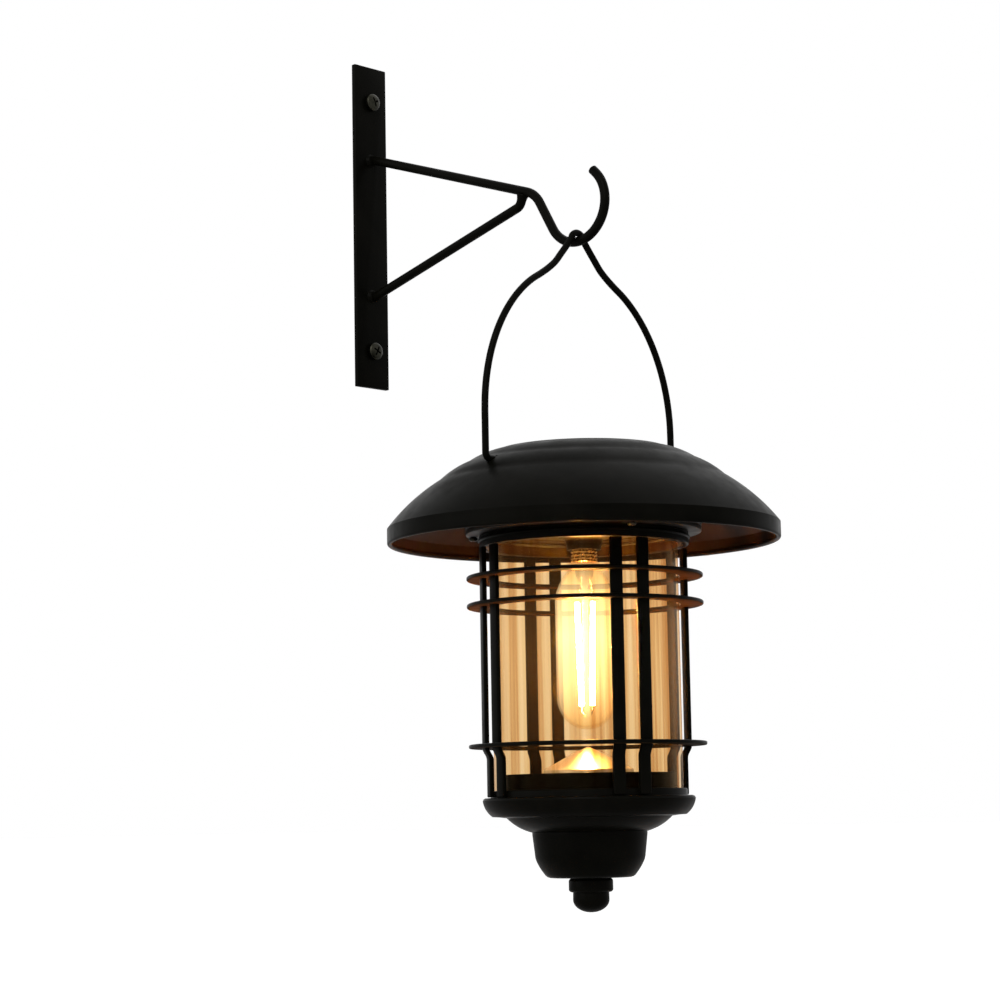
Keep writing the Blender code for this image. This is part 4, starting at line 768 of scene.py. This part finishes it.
def make_module():
    tub = turned(
        "tub_moulding",
        [
            (26.98, 37.0), (36.0, 37.0), (36.0, 8.3), (51.08, 8.3), (51.08, 6.3), (34.0, 6.3),
            (34.0, 33.2), (26.98, 33.2),
        ],
    )
    soften(tub, 0.4)
    cut_screw_holes(tub)
    finish_piece(tub, "head", BLACK_PLASTIC, "module_tub")
    plate = turned(
        "plate_moulding",
        [
            (8.3, 6.0), (51.02, 6.0), (51.02, 4.0), (SKIRT_RADIUS, 4.0), (SKIRT_RADIUS, -1.6), (40.9, -1.6),
            (40.9, 4.0), (30.0, 4.0), (29.6, 4.35), (12.9, 4.35), (12.5, 4.0), (8.3, 4.0),
        ],
    )
    soften(plate, 0.25, 2)
    cut_screw_holes(plate)
    cut(plate, drill(SWITCH_SPOT, SWITCH_SPOT + Vector((0, 0, DRILL_UP)), SWITCH_HOLE))
    for angle in PIN_ANGLES:
        cut_bayonet_slot(plate, angle)
    finish_piece(plate, "head", BLACK_PLASTIC, "lamp_plate")


def cut_bayonet_slot(plate, pin):
    """The slot that a pin of the cage's collar goes up and round in."""
    turn = pin + PIN_HALF_TURN
    reach, height = SKIRT_RADIUS * math.sin(PIN_HALF_TURN), 2 * SLOT_HALF_HEIGHT
    middle = turn + LANTERN_YAW + math.pi / 2
    along = Vector((math.cos(middle), math.sin(middle), 0))
    centre = on_lantern(SLOT_CIRCLE, turn, PIN_LEVEL)
    cut(plate, block("slot", (2 * (reach + SLOT_HALF_HEIGHT), SLOT_DEPTH, height), centre, middle))
    way_in = centre + along * reach + Vector((0, 0, -2.5))
    cut(plate, block("slot", (height, SLOT_DEPTH, 5.2), way_in, middle))


def make_module_screws():
    shank = [(0, 8.3), (1.2, 8.3), (1.2, 3.7), (1.9, 3.7), (1.9, 2.95)]
    head = [(1.6, 2.5), (1.1, 2.28), (0.5, PLATE_SCREW_END), (0, PLATE_SCREW_END)]
    screw = turned("plate_screw_1", [*shank, *head], 40, closed=False)
    soften(screw, 0.12, 2, 50)
    cut_cross(screw, (2.2, 0.45, 1.2), PLATE_SCREW_END, PLATE_SCREW_TURN)
    screws = [screw, copy_piece(screw, "plate_screw_2"), copy_piece(screw, "plate_screw_3")]
    for i, (piece, angle) in enumerate(zip(screws, SCREW_ANGLES)):
        spot = on_lantern(SCREW_CIRCLE, angle, 0) - Vector((AXIS, 0, RIM))
        piece.location = spot * MM
        apply_place(piece)
        finish_piece(piece, "head", SCREW_STEEL, f"lamp_plate_screw_{i + 1}")


def make_switch_button():
    spot = SWITCH_SPOT.x, SWITCH_SPOT.y
    stem = [(0, 9.8), (2.48, 9.8), (2.48, 4.5), (3.48, 4.5), (3.48, 1.5)]
    face = [(3.0, 1.0), (2.2, 1.0), (1.9, 1.15), (0, 1.25)]
    button = turned("push_button", [*stem, *face], SMALL_STEPS, closed=False, centre=spot)
    soften(button, 0.2, 2, 40)
    finish_piece(button, "switch", BLACK_PLASTIC, "switch_button")


# Bulb


THREAD_TURNS, THREAD_PITCH, THREAD_TOP = 5, 1.45, -0.2
BULB_WALL = 0.8
FILAMENT_ANGLES = (math.radians(40), math.radians(220))
FILAMENT_TOP, FILAMENT_BOTTOM = (3.8, -25.6), (2.6, -70.1)
FILAMENT_RADIUS, LEAD_RADIUS = 1.0, 0.35
LEADS = [[(1.85, -21.6), (3.8, -23.6), (3.8, -26.2)], [(2.6, -69.6), (2.6, -72.1), (1.85, -74.1)]]


def make_bulb():
    holder = turned(
        "holder_moulding",
        [
            (0, 11.0), (8.0, 11.0), (8.0, 3.7), (10.95, 3.7), (10.95, 2.0), (9.3, 1.75), (8.4, 1.3),
            (8.0, 0.6), (7.9, -0.4), (7.65, -0.7), (7.65, -1.5), (7.5, -1.8), (7.4, -3.0),
            (6.1, -3.0), (6.1, 9.0), (0, 9.0),
        ],
        SMALL_STEPS, closed=False,
    )
    soften(holder, 0.2, 2, 40)
    finish_piece(holder, "head", BLACK_PLASTIC, "bulb_holder")
    thread = []
    for i in range(THREAD_TURNS):
        top = THREAD_TOP - THREAD_PITCH * i
        thread += [(5.3, top), (5.45, top - 0.25), (5.77, top - 0.6), (5.77, top - 0.85), (5.45, top - 1.2)]
    cap = turned(
        "screw_cap",
        [
            (0, 8.7), (3.0, 8.7), (5.4, 6.6), *thread,
            (5.3, -7.4), (5.77, -7.8), (5.77, -8.1), (5.6, -8.3), (0, -8.3),
        ],
        SMALL_STEPS, closed=False,
    )
    finish_piece(cap, "head", BRASS, "bulb_cap", 50)
    neck, shoulder = (5.7, -10.4), (12.9, -23.6)
    upper = [(5.7, -8.6), neck, *bowed(neck, shoulder, 1.2, 10)]
    lower = [(12.92, -40), (12.92, -56), *dome(12.9, -66.3, 14.0, 16)]
    envelope = turned("bulb_envelope", sheet_section([*upper, *lower], BULB_WALL), 96)
    finish_piece(envelope, "head", BULB_GLASS, "bulb_glass", 60)
    flare = [(0, -8.6), (4.0, -8.6), (4.0, -12.6), (3.6, -14.6), (2.0, -17.2), (1.2, -19.6)]
    stem = turned("glass_stem", [*flare, *dome(1.2, -74.1, 1.2, 6)], 40, closed=False)
    finish_piece(stem, "head", STEM_GLASS, "bulb_stem", 60)


def make_filaments():
    """Two filaments that lean together, each with its wire leads."""
    for i, angle in enumerate(FILAMENT_ANGLES):
        name = f"led_filament_{i + 1}"
        ends = [on_lantern(r, angle, z) for r, z in (FILAMENT_TOP, FILAMENT_BOTTOM)]
        glowing = rod(f"filament_{i + 1}", ends, FILAMENT_RADIUS, 6)
        soften(glowing, 0.5, 3, 60)
        glowing.data.materials.append(FILAMENT)
        leads = []
        for shape in LEADS:
            lead = rod(f"{name}_lead", [on_lantern(r, angle, z) for r, z in shape], LEAD_RADIUS, 3)
            lead.data.materials.append(BRIGHT_STEEL)
            leads.append(lead)
        finish_piece(join([glowing, *leads]), "head", None, name)


# Cage


BAR_ANGLES = [math.radians(90 * pair + side * 7.8) for pair in range(4) for side in (-1, 1)]
BAR_CIRCLE, BAR_THICKNESS, BAR_HALF_WIDTH = 45.3, 2.0, 2.65
BAR_BEND, BAR_BEND_STEPS = 4.0, 5
BAR_INNER_LINE = [(44.3, -1.9), (44.3, -88.6), (42.4, -92.0), (42.4, -108.7)]
COLLAR_OUTSIDE = 45.3
PIN_RADIUS, PIN_TIP, PIN_ROOT = 1.0, 41.1, 44.3
RING_INSIDE, RING_OUTSIDE = 41.1, 51.08
RING_BOTTOM, RING_TOP = -15.6, -14.0
RING_SLOT = (2.12, 5.42, 4)
RING_DROPS = {"upper": 0, "middle": 12.0, "lower": 72.2}
# Ring faces that point further down than this take the painted warm light
LAMPLIT_UNDERSIDE_LIMIT = -0.7
TUBE_INSIDE, TUBE_OUTSIDE = 38.5, 40.48
TUBE_BOTTOM, TUBE_TOP = -107.0, 2.2
SEAL_INSIDE = 38.55
SEAL_LEVELS = {"top": (2.5, 3.7), "bottom": (-108.5, -107.3)}


def make_collar():
    """The cage's top ring, with a rolled bead and three pins that go into the lamp plate's slots."""
    lower = [(42.6, -1.6), (COLLAR_OUTSIDE, -1.6), (COLLAR_OUTSIDE, 0.9)]
    turns = [math.pi * (i / 8 - 0.5) for i in range(1, 8)]
    bead = [(COLLAR_OUTSIDE + 0.64 * math.cos(t), 1.6 + 0.7 * math.sin(t)) for t in turns]
    upper = [(COLLAR_OUTSIDE, 2.3), (COLLAR_OUTSIDE, 3.7), (42.6, 3.7)]
    collar = turned("bayonet_collar", [*lower, *bead, *upper])
    soften(collar, 0.4, 3, 60)
    for angle in PIN_ANGLES:
        tip, root = on_lantern(PIN_TIP, angle, PIN_LEVEL), on_lantern(PIN_ROOT, angle, PIN_LEVEL)
        combine(collar, drill(tip, root, PIN_RADIUS, 24), "UNION")
    finish_piece(collar, "cage", BLACK_PAINT, "cage_collar")


def make_bars():
    """Flat bars that step in below the lower ring, bent from one outline."""
    inner = [Vector((AXIS + r, 0, RIM + z)) for r, z in BAR_INNER_LINE]
    outer = [point + Vector((BAR_THICKNESS, 0, 0)) for point in inner]
    sides = []
    for line in (inner, outer):
        bends = [bend_line(*corner, BAR_BEND, BAR_BEND_STEPS) for corner in (line[:3], line[1:])]
        sides.append([line[0], *bends[0], *bends[1], line[3]])
    outline = [*sides[0], *reversed(sides[1])]
    half_width = Vector((0, BAR_HALF_WIDTH, 0))
    points = [point - half_width for point in outline]
    bar = start_piece("upright_bar_1", points[0])
    draw_through([*points, points[0]])
    bpy.ops.mesh.select_all(action="SELECT")
    bpy.ops.mesh.remove_doubles(threshold=MERGE_GAP)
    bpy.ops.mesh.edge_face_add()
    bpy.ops.mesh.extrude_region_move(TRANSFORM_OT_translate={"value": 2 * half_width * MM})
    close_up()
    soften(bar, 0.45, 3, 50)
    bars = [bar, *[copy_piece(bar, f"upright_bar_{i + 1}") for i in range(1, len(BAR_ANGLES))]]
    for i, (piece, angle) in enumerate(zip(bars, BAR_ANGLES)):
        turn_about_lantern(piece, angle + LANTERN_YAW)
        finish_piece(piece, "cage", BLACK_PAINT, f"cage_bar_{i + 1}")


def make_rings():
    """Flat rings that reach in to the glass, with a slot for each bar."""
    ring = turned("guard_ring_upper", ring_section(RING_INSIDE, RING_OUTSIDE, RING_BOTTOM, RING_TOP), 180)
    soften(ring, 0.55, 4)
    for angle in BAR_ANGLES:
        spot = on_lantern(BAR_CIRCLE, angle, (RING_BOTTOM + RING_TOP) / 2)
        cut(ring, block("slot", RING_SLOT, spot, angle + LANTERN_YAW))
    rings = {"upper": ring}
    for name in ("middle", "lower"):
        rings[name] = copy_piece(ring, f"guard_ring_{name}")
    for name, drop in RING_DROPS.items():
        rings[name].location.z = -drop * MM
        apply_place(rings[name])
        paint_lamplit_underside(rings[name])
        finish_piece(rings[name], "cage", None, f"cage_ring_{name}")


def paint_lamplit_underside(ring):
    """The underside of a ring takes a browner copy of the paint: painted warm light from the bulb."""
    ring.data.materials.append(BLACK_PAINT)
    ring.data.materials.append(LAMPLIT_RING_PAINT)
    for face in ring.data.polygons:
        face.material_index = 1 if face.normal.z < LAMPLIT_UNDERSIDE_LIMIT else 0


def make_tube():
    """The glass tube, with a seal at each end."""
    tube = turned("chimney_glass", ring_section(TUBE_INSIDE, TUBE_OUTSIDE, TUBE_BOTTOM, TUBE_TOP), 160)
    soften(tube, 0.6)
    finish_piece(tube, "cage", CLEAR_GLASS, "glass_tube")
    for name, (bottom, top) in SEAL_LEVELS.items():
        seal = turned(f"seal_ring_{name}", ring_section(SEAL_INSIDE, TUBE_OUTSIDE, bottom, top))
        soften(seal, 0.4)
        finish_piece(seal, "cage", RUBBER, f"glass_seal_{name}")


# Base


REFLECTOR_SHEET = 0.8
FINIAL_STEPS = 96


def make_base():
    """The tray that the glass stands in, and what is under and on it."""
    floor = [(3.3, -99.3), (37.9, -99.3), (37.9, -108.8), (40.8, -108.8)]
    turns = [math.pi * (1 - i / 8) for i in range(9)]
    bead = [(41.45 + 0.65 * math.cos(t), -106.65 + 0.65 * math.sin(t)) for t in turns]
    rim = [(42.1, -109.0), (44.4, -109.0), (45.2, -109.4), (45.56, -110.2)]
    outside = [*bowed((45.56, -110.2), (41.5, -117.0), 0.8, 10), (38.5, -117.2), (35.4, -117.6)]
    foot = [*bowed((35.4, -117.6), (25.0, -123.8), 0.8, 10), (23.2, -123.8)]
    inside = [
        (23.2, -122.3), (25.0, -122.3), (32.4, -117.6), (40.0, -115.5), (40.8, -110.3), (36.4, -110.3),
        (36.4, -100.8), (3.3, -100.8),
    ]
    tray = turned("tray_spinning", [*floor, *bead, *rim, *outside, *foot, *inside], 160)
    soften(tray, 0.35, 3, 40)
    finish_piece(tray, "cage", BLACK_PAINT, "base_tray")
    make_cup()
    make_reflector()
    make_finial()


def make_cup():
    outside = [(24.66, -123.2), (24.6, -125.0), (23.5, -134.4), (23.2, -135.6)]
    corner = [*bowed((23.2, -135.6), (19.8, -141.4), 0.25, 6), (19.2, -142.2), (18.4, -142.8)]
    bottom = [(17.4, -143.15), (16.6, -143.2), (3.3, -143.2), (3.3, -141.7), (16.75, -141.7)]
    inside = [(18.2, -141.2), (21.8, -135.2), (23.25, -123.2)]
    cup = turned("cup_spinning", [*outside, *corner, *bottom, *inside])
    soften(cup, 0.3, 3, 40)
    finish_piece(cup, "cage", BLACK_PAINT, "base_cup")


def make_reflector():
    """The polished cone on the tray's floor, of thin sheet with a lip."""
    cone = [(0, -87.8), (0.8, -87.95), *bowed((0.8, -87.95), (17.8, -96.8), 0.35, 10)]
    lip = [(18.8, -97.2), (19.47, -97.7), (19.47, -99.0)]
    reflector = turned("reflector_cone", sheet_section([*cone, *lip], REFLECTOR_SHEET))
    finish_piece(reflector, "cage", MIRROR_METAL, "base_reflector")


def make_finial():
    collar = turned(
        "finial_ring",
        [
            (8.7, -142.8), (8.7, -143.5), (9.48, -144.3), (9.48, -148.5), (8.7, -149.3),
            (3.3, -149.3), (3.3, -142.8),
        ],
        FINIAL_STEPS,
    )
    soften(collar, 0.3, 3, 30)
    finish_piece(collar, "cage", BLACK_PAINT, "finial_collar")
    bore = [(0, -154.1), (3.3, -154.1), (3.3, -148.9)]
    ball = [(7.7, -148.9), (7.75, -151.0), *dome(7.78, -152.5, 5.4, 12)]
    knob = turned("finial_ball", [*bore, *ball], FINIAL_STEPS, closed=False)
    soften(knob, 0.3, 3, 45)
    finish_piece(knob, "cage", BLACK_PAINT, "finial_knob")


def paint_inner_parts():
    """The parts that stay as they are inside the lamp and the base."""
    finishes = {
        "battery": BATTERY_WRAP, "battery_holder": BLACK_PLASTIC, "contact_positive": BRIGHT_STEEL,
        "contact_negative": BRIGHT_STEEL, "circuit_board": BOARD, "switch_body": BLACK_PLASTIC,
        "cap_gasket": RUBBER, "base_nut": BRIGHT_STEEL, "base_stud": BRIGHT_STEEL,
    }
    for name, finish in finishes.items():
        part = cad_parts[name]
        part.data.materials.clear()
        part.data.materials.append(finish)


make_wall_plate()
make_wall_screws()
make_arm_rod()
make_welds(*make_brace_rod())
make_hood()
make_bail()
make_solar_cap()
make_module()
make_module_screws()
make_switch_button()
make_bulb()
make_filaments()
make_collar()
make_bars()
make_rings()
make_tube()
make_base()
paint_inner_parts()


# Camera, floor and light, with places in metres


CAMERA_PLACE = Vector((0.87565, -0.81437, -0.28099))
CAMERA_AZIMUTH, CAMERA_PITCH, CAMERA_ROLL = (math.radians(turn) for turn in (44.17474, 7.10372, 0.98859))
CAMERA_LENS, CAMERA_SENSOR = 91.984, 36
CAMERA_NEAR = 0.05
FLOOR_PLACE, FLOOR_SIZE = (0.1, 0, -0.46), 60
FLOOR_SPECKLE, FLOOR_LIFT = 6, 0.62
LAMP_TARGET = Vector((0.12, 0, -0.15))
STUDIO_LEVEL, BACKDROP_LEVEL = 0.5, 1.0
WHITE = (1, 1, 1, 1)


def set_camera():
    """The photograph's view, from a little below the lantern and turned a degree."""
    level = math.cos(CAMERA_PITCH)
    forward = Vector(
        (-math.sin(CAMERA_AZIMUTH) * level, math.cos(CAMERA_AZIMUTH) * level, math.sin(CAMERA_PITCH))
    )
    right = Vector((math.cos(CAMERA_AZIMUTH), math.sin(CAMERA_AZIMUTH), 0))
    up = right.cross(forward)
    across = right * math.cos(CAMERA_ROLL) - up * math.sin(CAMERA_ROLL)
    upright = right * math.sin(CAMERA_ROLL) + up * math.cos(CAMERA_ROLL)
    camera = bpy.data.objects.new("camera", bpy.data.cameras.new("camera"))
    bpy.context.scene.collection.objects.link(camera)
    turn = Matrix((across, upright, -forward)).transposed().to_4x4()
    camera.matrix_world = Matrix.Translation(CAMERA_PLACE) @ turn
    camera.data.sensor_width = CAMERA_SENSOR
    camera.data.lens = CAMERA_LENS
    camera.data.clip_start = CAMERA_NEAR
    bpy.context.scene.camera = camera


def make_floor():
    """A pale floor, which is clear from below so that the lantern can be seen from underneath."""
    bpy.ops.object.select_all(action="DESELECT")
    bpy.ops.mesh.primitive_plane_add(size=FLOOR_SIZE, location=FLOOR_PLACE)
    floor = bpy.context.object
    floor.name = floor.data.name = "floor"
    material, tree, shader = new_finish("floor")
    speckle = noise(tree, object_place(tree), FLOOR_SPECKLE)
    feed(tree, shader, Base_Color=ramp(tree, speckle, [(0.3, grey(0.80)), (0.7, grey(0.83))]))
    seen = node(tree, "LightPath").outputs["Is Camera Ray"]
    lift = calculate(tree, "MULTIPLY", seen, FLOOR_LIFT)
    feed(tree, shader, Emission_Strength=lift)
    shader.inputs["Emission Color"].default_value = WHITE
    shader.inputs["Roughness"].default_value = 0.9
    shader.inputs["Specular IOR Level"].default_value = 0.1
    under = node(tree, "NewGeometry").outputs["Backfacing"]
    clear = node(tree, "BsdfTransparent").outputs[0]
    both = node(tree, "MixShader", {0: under, 1: shader.outputs[0], 2: clear})
    tree.links.new(both.outputs[0], tree.nodes["Material Output"].inputs["Surface"])
    floor.data.materials.append(material)


def add_lamp(name, place, size, power):
    """A square lamp that faces the lantern."""
    light = bpy.data.lights.new(name, "AREA")
    light.energy, light.size = power, size
    lamp = bpy.data.objects.new(name, light)
    bpy.context.scene.collection.objects.link(lamp)
    lamp.location = place
    lamp.rotation_euler = (LAMP_TARGET - Vector(place)).to_track_quat("-Z", "Y").to_euler()


def set_light():
    """Soft lamps, and a world that is white where it is seen, mirrored or looked at through glass."""
    add_lamp("key_lamp", (1.1, -1.6, 1.2), size=1.4, power=26)
    add_lamp("fill_lamp", (-0.6, -1.8, 0.3), size=1.6, power=10)
    add_lamp("top_lamp", (0.3, 0.9, 1.6), size=2.0, power=10)
    world = bpy.data.worlds.new("studio")
    bpy.context.scene.world = world
    world.use_nodes = True
    tree = world.node_tree
    path = node(tree, "LightPath")
    seen = calculate(tree, "MAXIMUM", path.outputs["Is Camera Ray"], path.outputs["Is Glossy Ray"])
    shown = calculate(tree, "MAXIMUM", seen, path.outputs["Is Transmission Ray"])
    around = node(tree, "Background", {"Color": WHITE, "Strength": STUDIO_LEVEL})
    backdrop = tree.nodes["Background"]
    backdrop.inputs["Color"].default_value = WHITE
    backdrop.inputs["Strength"].default_value = BACKDROP_LEVEL
    mixed = node(tree, "MixShader", {0: shown, 1: around.outputs[0], 2: backdrop.outputs[0]})
    tree.links.new(mixed.outputs[0], tree.nodes["World Output"].inputs["Surface"])


set_camera()
make_floor()
set_light()
bpy.context.scene.view_settings.view_transform = "Standard"
